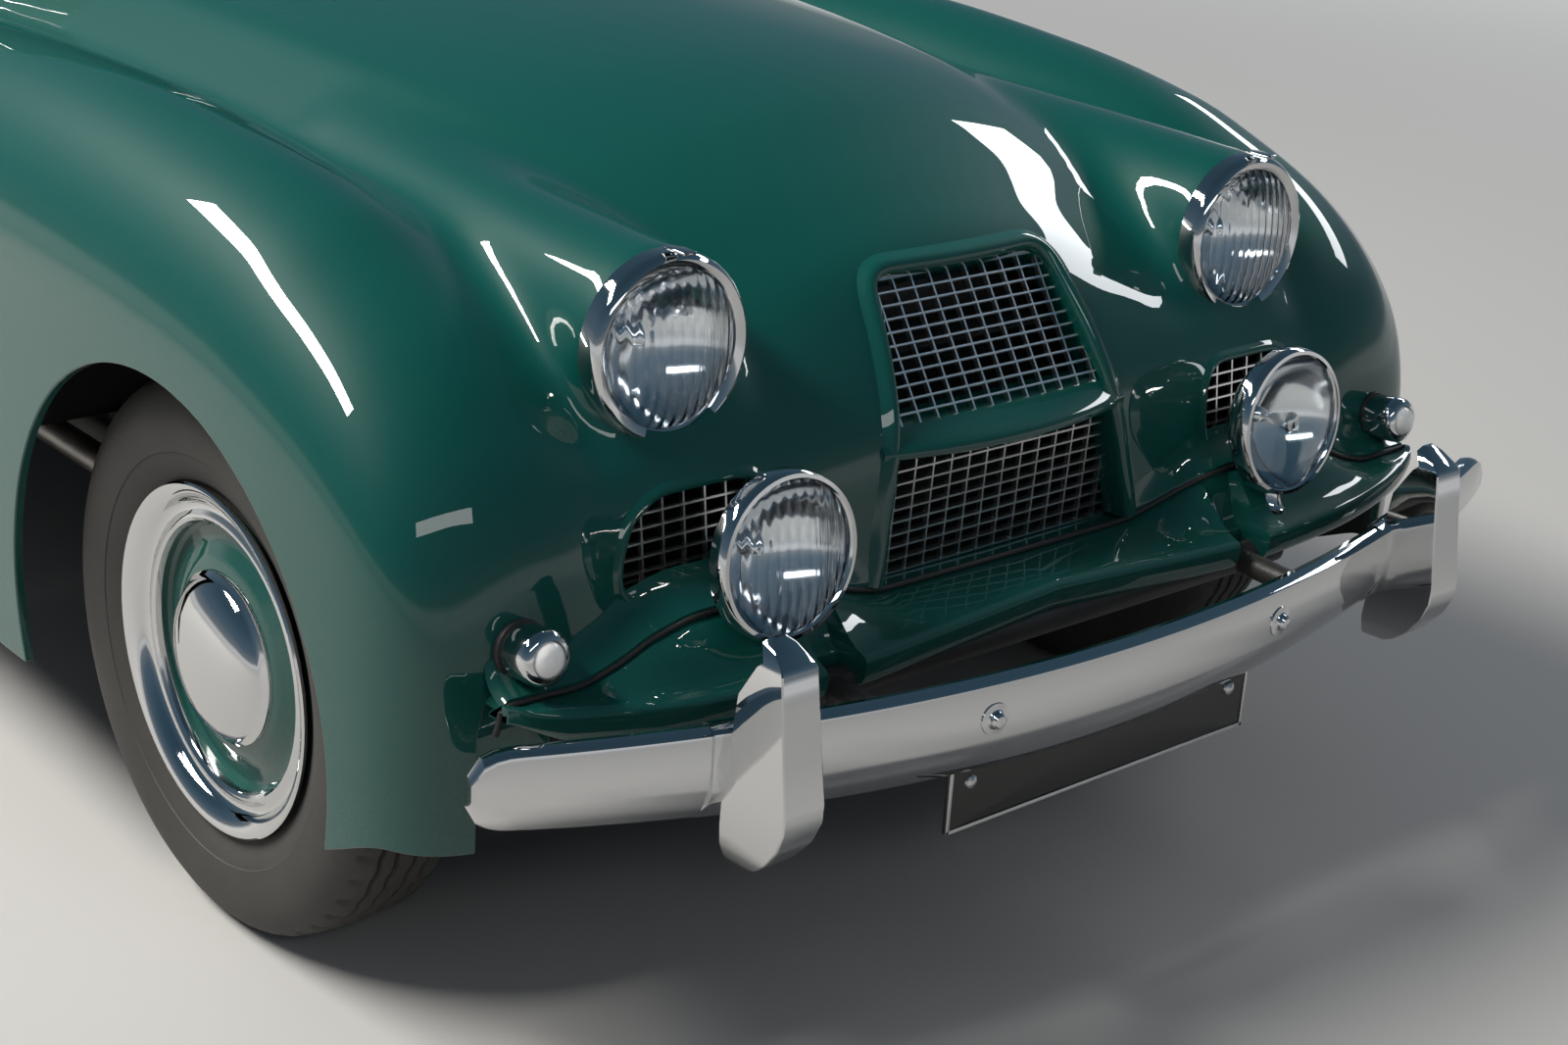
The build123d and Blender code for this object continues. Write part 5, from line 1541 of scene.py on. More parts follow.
STRIP_THICK, STRIP_DEEP = 2.6, 9.0
# name, foot z, foot y, top z, top y, reach under the lip, rows
for name, foot, foot_y, top, top_y, reach, rows in (
    ("upper_mesh", 668, -502, 850, -378, 6, 16),
    ("lower_mesh", 492, -486, 660, -492, 4, 12),
):
    low, high = half_width(foot) + reach, half_width(top) + reach
    outline = [(-low, foot), (low, foot), (high, top), (-high, top)]
    mesh = grille(name, outline, (foot_y, foot), (top_y, top), 17, rows, STRIP_THICK, STRIP_DEEP)
    piece_of(name, mesh, "front_clip", ("main_grille",))
for way in (1, -1):
    outline = [(way * x, z) for x, z in grown(SIDE_OPENING, 6)]
    mesh = grille("side_mesh", outline, (-478, 550), (-462, 672), 9, 9, STRIP_THICK, 8.0, way * 6.0)
    piece_of(f"side_mesh_{'left' if way > 0 else 'right'}", mesh, "front_clip", ("side_grilles",))
print("grilles ready")

# %% [markdown]
# ## Seam, piping and apron
# The apron is a pressing of its own, bolted on under the nose. The nose flares forward on to the
# seam, black piping lies in it to keep the paint from chafing, and below it a shelf runs forward to
# a rolled lip with two notches for the bumper irons. Rows of points are laid from side to side and
# joined into a sheet, since each row is one line that can be read off the photograph.

# %% Seam and apron
SEAM_Y = (
    (0, -528), (235, -530), (300, -541), (345, -552), (505, -557), (673, -557), (740, -556),
    (762, -552),
)
APRON_FRONT = (
    (0, -620), (200, -627), (354, -633), (500, -628), (620, -615), (700, -598), (745, -580),
    (768, -560),
)
APRON_Z = ((0, 487), (354, 474), (560, 480), (700, 494), (768, 500))
SEAM_HALF = 764.0
SEAM_SIDE_X = 773.0
NOTCH_X, NOTCH_HALF, NOTCH_DEEP = 354.0, 27.0, 44.0
# lift over the seam, share of the way forward
FLARE = (
    (34, 0.0), (22, 0.1), (13, 0.28), (6, 0.58), (2, 0.86), (0, 1.0), (-3, 1.0), (-5, 0.8),
    (-5, -0.3),
)
# back from the lip's front, up from its crest
APRON_LIP = (
    (10, 5.2), (3.4, 2.4), (0, -3), (0.5, -9), (2.0, -20), (6.5, -31), (11, -34), (14, -31),
    (10, -20), (8, -4),
)


def curve(table, x):
    """A table's curve, the same on both sides of the car."""
    return table_curve(table, np.abs(np.asarray(x, float)))


def across_nose(count=181, half=SEAM_HALF):
    """Stations from side to side, closer together towards the ends."""
    turn = np.linspace(-1, 1, count) * math.pi / 2 * 0.92
    return np.sin(turn) / math.sin(math.pi / 2 * 0.92) * half


def grid_faces(rows, columns):
    i, j = np.meshgrid(np.arange(rows - 1), np.arange(columns - 1), indexing="ij")
    a = (i * columns + j).ravel()
    return np.stack([a, a + columns, a + columns + 1, a + 1], 1)


def flare():
    """The skin sweeps forward above the seam; its back lies under the skin."""
    xs = across_nose()
    parts = []
    for group in (xs[xs > 212], xs[xs < -212]):
        low, edge = curve(SEAM, group) + 3.5, curve(SEAM_Y, group)
        rows = []
        for lift, reach in FLARE:
            z = low + lift
            p = settle(np.column_stack([group, np.full(len(group), -500.0), z]))
            for _ in range(2):
                p[:, 0], p[:, 2] = group, z
                p = settle_y(p)
            y = p[:, 1] + (edge - p[:, 1]) * reach - (0.6 if reach == 0 else 0)
            rows.append(np.column_stack([group, y, z]))
        faces = grid_faces(len(rows), len(group))
        parts.append((np.concatenate(rows), faces, np.zeros(len(faces))))
    return parts


def settle_y(p):
    """Points moved fore or aft only, on to the skin."""
    p = p.copy()
    for _ in range(12):
        g = slope_at(p)[:, 1]
        g = np.where(np.abs(g) < 0.25, -0.25, g)
        p[:, 1] -= np.clip(off_skin(p) / g, -12, 12)
        p[:, 1] = np.clip(p[:, 1], -560, -380)
    return p


def piping():
    """A round cord along the seam, dipping at its ends."""
    xs = across_nose(161, 770)
    path = np.column_stack([xs, curve(SEAM_Y, xs) + 1, curve(SEAM, xs) - 3.5])
    path[np.abs(xs) > 764, 2] -= 10
    return tube_arrays(path, 3.8, 10)


def apron_shelf():
    """Shelf, lip and underside as rows from the seam forward and back again."""
    xs = across_nose(241)
    rear_y, rear_z = curve(SEAM_Y, xs), curve(SEAM, xs) - 7
    front_y, front_z = curve(APRON_FRONT, xs), curve(APRON_Z, xs)
    d = np.clip((NOTCH_HALF - np.abs(np.abs(xs) - NOTCH_X)) / 9, 0, 1)
    front_y = front_y + NOTCH_DEEP * (1 - (1 - d) ** 2) ** 0.5 * (d > 0)
    tuck = np.clip((SEAM_HALF - np.abs(xs)) / 60, 0.15, 1)
    reach = np.where(np.abs(xs) < 226, 62, 22)
    rows = [np.column_stack([xs, rear_y + reach, rear_z - 4])]
    rows.append(np.column_stack([xs, rear_y, rear_z]))
    for t in (0.2, 0.45, 0.7, 0.86):
        ease = t * t * (3 - 2 * t)
        z = rear_z + (front_z + 6 - rear_z) * ease
        rows.append(np.column_stack([xs, rear_y + (front_y + 10 - rear_y) * t, z]))
    for back, rise in APRON_LIP:
        z = front_z + (rise if rise > -9 else -9 + (rise + 9) * tuck)
        rows.append(np.column_stack([xs, front_y + back * tuck, z]))
    for t in (0.8, 0.4, 0.0):
        y = rear_y + (front_y + 14 - rear_y) * t + 8 * (1 - t)
        rows.append(np.column_stack([xs, y, rear_z - 5 + (front_z - 2 - rear_z) * t]))
    rows.append(rows[0] - [0, 0, 3])
    n = len(xs)
    first = np.arange(n - 1)
    last = (len(rows) - 1) * n + first
    groups = [grid_faces(len(rows), n), np.stack([last, first, first + 1, last + 1], 1)]
    for column in (0, n - 1):
        ring = np.arange(len(rows)) * n + column
        fan = [[ring[0], ring[k], ring[k + 1]] for k in range(1, len(ring) - 1)]
        groups.append(np.array(fan))
    return np.concatenate(rows), groups, np.zeros(sum(len(g) for g in groups))


def wing_return():
    """The wing's front edge turned inwards, which closes the gap behind the apron's end."""
    z = np.linspace(508, 408, 21)
    x = np.full(len(z), SEAM_SIDE_X)
    p = settle_y(np.column_stack([x, np.full(len(z), -480.0), z]))
    path = np.column_stack([x, p[:, 1] + 2, z])
    profile = [(0.0, 0.0), (0.0, 3.0), (-95.0, 3.0), (-95.0, 0.0)]
    return straight_sweep(path, (1.0, 0, 0), (0, 1.0, 0), profile)


build_piece("seam_flare", flare(), [PAINT], "front_clip", angle=60)
build_piece("wing_return", both_sides([wing_return()]), [PAINT], "front_clip", angle=60)
build_piece("piping", [piping()], [RUBBER], "front_clip")
build_piece("apron_shelf", [apron_shelf()], [PAINT], "front_clip", ("apron",), angle=50)
print("apron ready")

# %% [markdown]
# ## Lamps
# A lamp of that time is a spun bright rim, a silvered bowl behind it and a pressed glass in front,
# whose ribs spread the beam. Rim, bowl and glass are turned about the lamp's axis. The ribs are a
# wave in the glass's bump and not in its shape, because they are finer than the mesh should be.

# %% Lamp glass
def ribbed_glass(name, pitch, strength):
    """Clear glass with upright ribs, a pitch in metres apart."""
    m = finish_of(name, (0.93, 0.95, 0.96), 0.0, 0.02, 0.0, 0.03, 1.45, 1.0)
    tree = m.node_tree
    place = add(tree, "TexCoord")
    wave = add(tree, "TexWave")
    wave.wave_type, wave.bands_direction = "BANDS", "X"
    fill(wave, Scale=1.0 / pitch / 3.1416 * 0.5, Distortion=0.0)
    bump = add(tree, "Bump")
    fill(bump, Strength=strength, Distance=0.002)
    joined(
        tree,
        (place.outputs["Object"], wave.inputs["Vector"]),
        (wave.outputs["Fac"], bump.inputs["Height"]),
        (bump.outputs["Normal"], tree.nodes["Principled BSDF"].inputs["Normal"]),
    )
    return m


RIBBED = ribbed_glass("ribbed_glass", 0.0075, 0.6)
CLEAR = finish_of("clear_glass", (0.95, 0.97, 0.97), 0.0, 0.01, 0.0, 0.03, 1.45, 1.0)
SILVERED = finish_of("silvered_bowl", (0.80, 0.82, 0.84), 1.0, 0.10)
# near black: the real black of the dial faces, and painted shade on the ducts behind the grilles
DIAL_BLACK_AND_PAINTED_SHADE = finish_of("dark_recess", (0.004, 0.004, 0.004), 0.0, 0.7)
FROSTED = finish_of("frosted_lens", (0.80, 0.80, 0.78), 0.0, 0.25, 0.4, 0.1)


def tilted(degrees):
    """Forwards, and upwards by some degrees."""
    a = math.radians(degrees)
    return np.array([0, -math.cos(a), math.sin(a)])


def in_finish(arrays, finish):
    """The same arrays with another slot of the piece's finishes."""
    return arrays[0], arrays[1], arrays[2] + finish


def lamp(name, node, centre, tilt, r, k, deep, dome, glass, extra):
    """A lamp of outer radius r and glass radius k; along its axis, 0 is the rim of the glass."""
    d = tilted(tilt)
    rim = [(-deep, r - 3), (-deep + 3, r), (-6, r), (0, r - 1.2), (5, r - 4), (7.5, r - 8)]
    rim += [(7, (r + k) / 2 + 1), (4.5, k + 2.4), (2.5, k - 0.5), (-2, k - 1), (-6, k - 1)]
    rim += [(-6, k + 3), (-deep, k + 3), (-deep, r - 3)]
    bowl = [(-5, k - 1), (-14, k * 0.93), (-28, k * 0.8), (-42, k * 0.6), (-52, k * 0.36)]
    bowl += [(-56, k * 0.13), (-44, k * 0.10), (-40, 0.0)]
    dome_rows = ((0, 1), (0.34, 0.9), (0.62, 0.75), (0.85, 0.5), (0.97, 0.25), (1, 0.0))
    front = [(dome * a, k * b) for a, b in dome_rows]
    back = [(a - 3.0, b * 0.985) for a, b in reversed(front)]
    parts = [turned_arrays(rim, centre, d, 96), in_finish(turned_arrays(bowl, centre, d), 1)]
    build_piece(name, parts + extra, [CHROME, SILVERED], "front_clip", (node,), angle=40)
    pane_part = turned_arrays(front + back, centre, d)
    build_piece(name + "_glass", [pane_part], [glass], "front_clip", ("lamp_lenses",), angle=60)


for side, way in SIDES:
    x = way * LAMP_X
    clip = box_arrays(x - 9, x + 9, -478, -440, 926, 930, 1.5)
    centre = np.array([x, -452.0, LAMP_Z])
    lamp(f"headlamp_{side}", "headlamps", centre, 2.0, 107.5, 90.0, 26.0, 20.0, RIBBED, [clip])
print("headlamps ready")

# %% [markdown]
# ## Lower lamps
# The two lower lamps stand on the apron on short posts, one for fog and one as a spot lamp.
# The one on the right of the car has ribbed glass, and the one on the left has clear glass with a
# bright shield over its bulb. The same turned lamp serves both, with a post and a deeper back.

# %% Lower lamps
UP = (0, 0, 1)
SHELL = [(-4, 96), (-12, 96.5), (-26, 90), (-42, 74), (-58, 50), (-68, 26), (-72, 0.0)]
CUP = [(-26, 21), (-17, 21), (-15, 18), (-6, 15), (0, 13), (10, 12)]
ARM = [(-8, 0.0), (-8, 14), (6, 14), (10, 10), (10, 0.0)]
SHIELD = [(-30, 0.0), (-30, 7), (-12, 11), (0, 14), (4, 12), (6, 6), (6, 0.0)]

for side, way in SIDES:
    centre, foot = np.array([way * 427.0, -604.0, 614.0]), np.array([way * 427.0, -592.0, 506.0])
    d = tilted(6.0)
    bend = [foot + [0, 4, -22], foot + [0, 4, 0], centre - d * 30 - [0, 0, 92]]
    parts = [
        turned_arrays(SHELL, centre, d),
        tube_arrays(spline(bend, 12), 9.0, 16),
        turned_arrays(CUP, foot + [0, 4, 4], UP, 32),
        turned_arrays(ARM, centre - d * 30 - [0, 0, 95], UP, 24),
    ]
    if way > 0:
        parts.append(turned_arrays(SHIELD, centre, d, 32))
        parts.append(tube_arrays([centre - d * 40, centre - d * 8], 4.0, 10))
    glass = RIBBED if way < 0 else CLEAR
    lamp(f"lower_lamp_{side}", "fog_lamps", centre, 6.0, 97.0, 88.5, 20.0, 12.0, glass, parts)
print("lower lamps ready")

# %% [markdown]
# ## Side lamps
# A side lamp is a small bright cup on a rubber pad, with a frosted lens. It stands off the curved
# wing, so its depth is measured from the skin behind it and not guessed.

# %% Side lamps
LENS = [(-3, 20.4), (3, 19.5), (8, 16), (11, 10), (12.5, 0.0)]

for side, way in SIDES:
    centre = np.array([way * 721.0, -572.0, 553.0])
    d = tilted(8.0)
    back = centre[1] - settle_y(centre[None] + [0, 52.0, 0])[0, 1]
    print("side lamp stands", round(-back, 1), "mm off the skin")
    cup = [(back - 6, 0.0), (back - 6, 24), (back + 3, 31), (-6, 31), (0, 29), (3, 25)]
    cup += [(4, 21), (0, 20.5), (-4, 20)]
    pad = [(back - 14, 30), (back + 2, 33), (back + 5, 32), (back + 6, 27)]
    parts = [turned_arrays(cup, centre, d, 48), in_finish(turned_arrays(pad, centre, d, 40), 1)]
    parts.append(in_finish(turned_arrays(LENS, centre, d, 40), 2))
    mats = [CHROME, RUBBER, FROSTED]
    build_piece(f"side_lamp_{side}", parts, mats, "front_clip", ("side_lamps", "lamp_lenses"), 40)

# %% [markdown]
# ## Bumpers
# A bumper bar is rolled from one strip: an angled top flange, a flat face and a turned-in foot. It
# bows forward and climbs a little towards its round-cornered ends. So its section is swept along
# the bow and shrinks at the ends, and the overriders are swept upwards in the same way.

# %% Bumper bars
BAR_HALF, BOW_RADIUS, BAR_Z = 852.0, 2483.0, 474.0
FRONT_BAR_Y, REAR_BAR_Y = -775.0, 4030.0
# back from the face, up from its top edge
BAR = (
    (24, 9), (14, 12), (6, 9.5), (1.5, 5), (0, -2), (0, -62), (2, -68), (9, -84), (22, -104),
    (34, -118), (34, -112), (24, -102), (11, -82), (5, -66), (4, -2), (8, 6), (24, 6),
)
BOLT = [(-4, 21), (1.5, 19), (3, 12), (4.5, 10.5), (8, 9.5), (11, 6.5), (12, 0.0)]


def bar_arc(x):
    """How far the bow falls back at x."""
    return (x * x) / (2 * BOW_RADIUS)


def bumper_bar(face_y, way, low=-BAR_HALF, high=BAR_HALF, grow=0.0, count=121):
    """The bar, or a collar round a stretch of it when grow is more than nothing."""
    path, shapes, across = [], [], []
    t = np.linspace(-1, 1, count)
    for x in (low + high) / 2 + np.sign(t) * np.abs(t) ** 0.9 * (high - low) / 2:
        k = abs(x) / BAR_HALF
        tall = 1 - 0.22 * k * k
        end = np.clip((BAR_HALF - abs(x)) / 46, 0, 1)
        blunt = math.sqrt(max(1 - (1 - end) ** 2, 0.0)) * 0.62 + 0.38
        path.append((x, face_y - way * bar_arc(x), BAR_Z + 22 * k * k - 4))
        rows = np.array(BAR)
        rows = rows + grow * np.sign(rows - rows.mean(0))
        rows[:, 0] *= 0.55 + 0.45 * blunt
        rows[:, 1] = (rows[:, 1] + 46) * tall * blunt - 46 * tall
        shapes.append(rows)
        n = np.array([way * x / BOW_RADIUS, -way, 0.0])
        across.append(n / np.linalg.norm(n))
    return swept_arrays(path, across, np.tile([0, 0, 1.0], (len(path), 1)), shapes)


# height, front, half width, rear
BLADE = (
    (126, 38, 8, 44), (120, 30, 16, 46), (104, 8, 23, 34), (98, 4, 25, 40), (60, -1, 26, 62),
    (0, -9, 27, 68), (-50, -17, 28, 72), (-72, -16, 28, 74), (-98, -5, 26, 78),
    (-124, 16, 21, 84), (-144, 40, 13, 88), (-154, 58, 5, 92),
)


def overrider(x, face_y, way):
    """A folded blade with sides that run back over the bar, a cut-back top and a curled foot."""
    path, shapes = [], []
    for z, front, w, rear in BLADE:
        path.append((x, face_y, BAR_Z + z))
        deep = max(rear, front + 3)
        flare = 0.09 * (deep - front)
        half = [(w - 2, front), (w, front + 1.5), (w + flare, deep), (w + flare - 4, deep)]
        half.append((w - 4, front + 6))
        shapes.append([(2 - w, front)] + half + [(-a, b) for a, b in reversed(half[1:])])
    return straight_sweep(path, (1.0, 0, 0), (0, -way * 1.0, 0), shapes)


def bumper_parts(face_y, way):
    """Bar, overriders, their collars and the bolts."""
    parts = [bumper_bar(face_y, way)]
    for side in (1, -1):
        x, bolt_x = side * 550.0, side * 247.0
        parts.append(overrider(x, face_y, way))
        parts.append(bumper_bar(face_y, way, x - 52, x + 52, 3.0, 9))
        place = (bolt_x, face_y - way * bar_arc(bolt_x), BAR_Z - 38)
        parts.append(turned_arrays(BOLT, place, (bolt_x / BOW_RADIUS, way, 0), 32))
    return parts


for end, face_y, way in (("front", FRONT_BAR_Y, -1), ("rear", REAR_BAR_Y, 1)):
    parts = bumper_parts(face_y, way)
    build_piece(f"{end}_bar", parts, [CHROME], "car", (f"{end}_bumper",), angle=28)
print("bumpers ready")

# %% [markdown]
# ## Window glass and its frames
# Each pane is the same skin laid a little deeper, so the glass follows the body without a fitting
# of its own. It is a closed sheet with two faces, because clear glass only bends light properly
# when it has a back. A bright strip and a black rubber follow the loop of every opening.

# %% Panes and frames
def pane(name, v, f, body, node):
    """A sheet of glass under the panels."""
    points, faces, norms = panel_arrays(v - normals_at(v) * 9.0, f, 4.5, 0.8)
    return given(mesh_from(name, points, faces, norms, [GLASS]), body, (node,))


UNDER_FRAME = 7


def wider(measure):
    """The same outline, grown to reach under its frame."""
    return lambda p: measure(p) + UNDER_FRAME


STRIP_EDGE = (
    (-7, -0.6), (-6.4, 1.6), (-3.5, 3.4), (0, 3.8), (3, 2.6), (4.2, -0.5), (3.6, -4), (-2, -3),
    (-7, -2),
)
RUBBER_EDGE = ((3, 1.4), (6.5, 0.8), (9, -2), (10, -5), (10, -9.2), (2.5, -9.4), (2.5, -2))


def window_frame(name, v, f, measure, where, body, both=True, count=110):
    """Bright strip and rubber round one opening, and its mirror image if both is true."""

    def on_edge(p):
        return (np.abs(measure(p)) < 1.5) & where(p)

    chain = edge_chain(v, f, on_edge, count, True, 3)
    parts = [lip_arrays(*chain, STRIP_EDGE, True), lip_arrays(*chain, RUBBER_EDGE, True, 1)]
    build_piece(name, both_sides(parts) if both else parts, [CHROME, RUBBER], body, angle=50)


def on_left(p):
    return p[:, 0] > 0


def high_up(p):
    return p[:, 2] > 900


for name, hole in (("windscreen", in_screen), ("quarter_glass", in_quarter), ("rear_glass", in_rear)):
    v, f = whole(*cut_all(HALF_V, HALF_F, wider(hole)))
    pane(name, v, f, "car", "fixed_glass")
window_frame("screen_frame", body_v, body_f, in_screen, on_left, "car")
window_frame("quarter_frame", body_v, body_f, in_quarter, on_left, "car")
window_frame("rear_frame", body_v, body_f, in_rear, high_up, "car", False, 150)
pane_v, pane_f = cut_all(HALF_V, HALF_F, wider(in_door_glass))
for side, way in SIDES:
    body = f"door_{side}"
    v, f = (pane_v, pane_f) if way > 0 else mirror_x(pane_v, pane_f)
    pane(f"door_pane_{side}", v, f, body, f"door_glass_{side}")
    v, f = (door_v, door_f) if way > 0 else mirror_x(door_v, door_f)
    window_frame(f"door_frame_{side}", v, f, in_door_glass, high_up, body, False)
print("glass ready")

# %% [markdown]
# ## The cabin's inside
# Inside, a car is trimmed panel by panel: carpet on the floor, hide on the sides, cloth overhead.
# The frame already has the floor, the tunnel, the wheelhouses and the lining, so they aren't drawn
# again. Their faces are copied where they lie deeper than the painted skin, and where a face lies
# and looks decides which finish it gets.

# %% Cabin lining
def node_arrays(*nodes):
    """The triangles of frame pieces in millimetres from the front axle, with doubles merged."""
    points, faces, offset = [], [], 0
    for node in nodes:
        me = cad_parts[node].data
        me.calc_loop_triangles()
        v = np.empty(len(me.vertices) * 3)
        me.vertices.foreach_get("co", v)
        f = np.empty(len(me.loop_triangles) * 3, int)
        me.loop_triangles.foreach_get("vertices", f)
        points.append(v.reshape(-1, 3) * 1000 - [0, AXLE_Y * 1000, 0])
        faces.append(f.reshape(-1, 3) + offset)
        offset += len(me.vertices)
    return weld(np.concatenate(points), np.concatenate(faces), 0.01)


def refined(v, f, size):
    """Long triangles are quartered until no edge is longer than size."""
    for _ in range(6):
        a, b, c = v[f[:, 0]], v[f[:, 1]], v[f[:, 2]]
        sides = [np.linalg.norm(one - two, axis=1) for one, two in ((a, b), (b, c), (c, a))]
        long = np.max(sides, 0) > size
        if not long.any():
            break
        a, b, c = a[long], b[long], c[long]
        n, m = len(v), int(long.sum())
        k = np.arange(m)
        fa, fb, fc = f[long].T
        ab, bc, ca = n + k, n + m + k, n + 2 * m + k
        v = np.concatenate([v, (a + b) / 2, (b + c) / 2, (c + a) / 2])
        quarters = ((fa, ab, ca), (ab, fb, bc), (ca, bc, fc), (ab, bc, ca))
        f = np.concatenate([f[~long]] + [np.stack(q, 1) for q in quarters])
        v, f = weld(v, f, 0.01)
    return v, f


def cabin_finish(v, f):
    """0 hide, 1 carpet, 2 roof cloth, 3 black paint."""
    mid = v[f].mean(1)
    n = np.cross(v[f[:, 1]] - v[f[:, 0]], v[f[:, 2]] - v[f[:, 0]])
    n /= np.maximum(np.linalg.norm(n, axis=1), 1e-9)[:, None]
    x, y, z = np.abs(mid[:, 0]), mid[:, 1], mid[:, 2]
    index = np.zeros(len(f))
    index[(n[:, 2] > 0.6) & (z < 700)] = 1
    index[(z > 1012) & (y > 1180)] = 2
    back, up = y - WHEELBASE, z - TYRE_RADIUS
    outwards = n[:, 1] * back + n[:, 2] * up
    near_wheel = (np.hypot(back, up) < 404) & (x > 560) & (outwards < 0.5)
    below = ((n[:, 2] < -0.5) & (z < 500)) | (z < 298)
    index[near_wheel | below | ((y > 2760) & (z < 1000)) | (y < 1090)] = 3
    return index


LINING_DEPTH = 13.0
inner_v, inner_f = refined(*node_arrays("body_tub", "roof_shell"), 90.0)
inner_v, inner_f = trim(inner_v, inner_f, lambda p: -off_skin(p) - LINING_DEPTH)
mats = [TRIM, CARPET, LINING, UNDER]
inner = mesh_from("cabin_lining", inner_v, [inner_f], None, mats, cabin_finish(inner_v, inner_f))
given(shaded(inner, 30), "car", ("body_tub", "roof_shell"))
print("lining triangles", len(inner_f))

# %% [markdown]
# ## Seats
# A seat of that time is hide over horsehair, sewn into channels so that the filling stays in place.
# Its side view is a rounded outline, which is carried across the seat, drawn in at both ends,
# crowned in the middle and dented along the seams. Worked out row by row, the dents stay even.

# %% Seats
RING_STEP = 13


def rounded(points, radius):
    """An outline with round corners as evenly spaced points."""
    core = inset_outline(points, radius)
    count, way = len(core), turn_way(core)
    out = []
    for i in range(count):
        (ax, az), (bx, bz), (cx, cz) = core[i - 1], core[i], core[(i + 1) % count]
        t0 = math.atan2(-way * (bx - ax), way * (bz - az))
        t1 = math.atan2(-way * (cx - bx), way * (cz - bz))
        turn = (t1 - t0) * way % (2 * math.pi) * way
        for k in range(7):
            t = t0 + turn * k / 6
            out.append((bx + radius * math.cos(t), bz + radius * math.sin(t)))
    out = np.array(out + out[:1])
    s = lengths_along(out)
    u = np.linspace(0, s[-1], int(s[-1] / RING_STEP) + 1)[:-1]
    return np.column_stack([np.interp(u, s, out[:, k]) for k in (0, 1)])


def cushion(name, x0, x1, outline, radius, channels, face_from):
    """A pad from x0 to x1 with this outline in side view.

    The channels run fore and aft, on the side where (y, z) times face_from is past its third number.
    """
    ring = rounded(outline, radius)
    away = ring - ring.mean(0)
    away = away / np.linalg.norm(away, axis=1)[:, None]
    top = np.clip((ring @ np.array(face_from[:2]) - face_from[2]) / 25, 0, 1)
    half = (x1 - x0) / 2
    path, shapes = [], []
    for t in np.linspace(-1, 1, 11 * channels + 1):
        edge = np.clip((1 - abs(t)) * half / 34, 0, 1)
        drawn = 30 * (1 - math.sqrt(max(1 - (1 - edge) ** 2, 0)))
        crown, sewn = 5.0 * (1 - t * t), 0.0
        if abs(t) < 1 - 20 / half:
            off_seam = abs((t + 1) / 2 * channels % 1 - 0.5) - 0.5
            sewn = 6.0 * math.exp(-((off_seam / 0.09) ** 2))
        shapes.append(ring - away * (5 + drawn - (crown - sewn) * top)[:, None])
        path.append(((x0 + x1) / 2 + t * half, 0.0, 0.0))
    part = straight_sweep(path, (0, 1.0, 0), (0, 0, 1.0), shapes)
    ob = build_piece(name, [part], [TRIM], "car", ("seats",), angle=70)


# (y, z) outlines
FRONT_CUSHION = [(1560, 452), (2036, 452), (2040, 560), (2030, 592), (1990, 600), (1600, 600)]
FRONT_CUSHION.append((1560, 575))
FRONT_BACK = [(2062, 480), (2118, 470), (2270, 1080), (2245, 1102), (2205, 1100), (2058, 560)]
REAR_CUSHION = [(2320, 520), (2600, 520), (2600, 645), (2360, 662), (2320, 640)]
REAR_BACK = [(2622, 560), (2702, 560), (2735, 1020), (2715, 1040), (2675, 1036)]

for side, x in (("left", 400), ("right", -400)):
    low, high = x - 235, x + 235
    cushion(f"front_cushion_{side}", low, high, FRONT_CUSHION, 14, 8, (0, 1, 560))
    cushion(f"front_back_{side}", low, high, FRONT_BACK, 11, 8, (-0.96, 0.26, -1900))
    parts = [box_arrays(x - 225, x + 225, 1572, 2030, 303, 455, 8)]
    parts.append(box_arrays(x - 225, x + 225, 2060, 2098, 303, 490, 8))
    build_piece(f"front_seat_base_{side}", parts, [TRIM], "car", ("seats",))
cushion("rear_cushion", -500, 500, REAR_CUSHION, 16, 16, (0, 1, 610))
cushion("rear_back", -500, 500, REAR_BACK, 12, 16, (-0.99, 0.1, -2590))
parts = [box_arrays(-492, 492, 2330, 2694, 496, 530, 6)]
build_piece("rear_seat_base", parts, [TRIM], "car", ("seats",))
print("seats ready")

# %% [markdown]
# ## Dials
# A dial has a bright rim and a dark face with pale ticks over three quarters of a turn. The ticks
# are thin blocks, because a printed face would need an image and blocks stay sharp close up.

# %% Dials
BACKWARDS = (0, 1, 0)
DASH_Y = 1390
TICK_HALF = 0.9


def dial(x, z, r, ticks):
    """Rim and face, the ticks, and the boss in the middle."""
    rim = [(0, r + 5, 0), (3, r + 5, 0), (5, r + 1, 0), (3.5, r - 1, 1), (1.5, r - 1.5, 1)]
    parts = [turned_arrays(rim + [(1.2, 0.0, 1)], (x, DASH_Y, z), BACKWARDS, 48)]
    for k in range(ticks):
        a = math.radians(225 - 270 * k / (ticks - 1))
        c, s = math.cos(a), math.sin(a)
        quad = []
        for share, way in ((0.74, 1), (0.74, -1), (0.9, -1), (0.9, 1)):
            reach, w = r * share, way * TICK_HALF
            quad.append((x - (reach * c - w * s), 1391.8, z + reach * s + w * c))
        quad = np.array(quad)
        points = np.concatenate([quad, quad - [0, 0.5, 0]])
        faces = [[0, 1, 2, 3], [7, 6, 5, 4], [0, 4, 5, 1], [1, 5, 6, 2], [2, 6, 7, 3], [3, 7, 4, 0]]
        parts.append((points, np.array(faces), np.full(6, 2)))
    boss = [(1.2, 4, 1), (4.5, 3.5, 1), (5, 0.0, 1)]
    parts.append(turned_arrays(boss, (x, DASH_Y, z), BACKWARDS, 20))
    return parts


parts = dial(-300, 850, 42, 17) + dial(-420, 850, 42, 17)
for k in range(4):
    parts += dial(-150 + 100 * k, 850, 26, 9)
build_piece("dials", parts, [CHROME, DIAL_BLACK_AND_PAINTED_SHADE, FROSTED], "car")
print("dials ready")

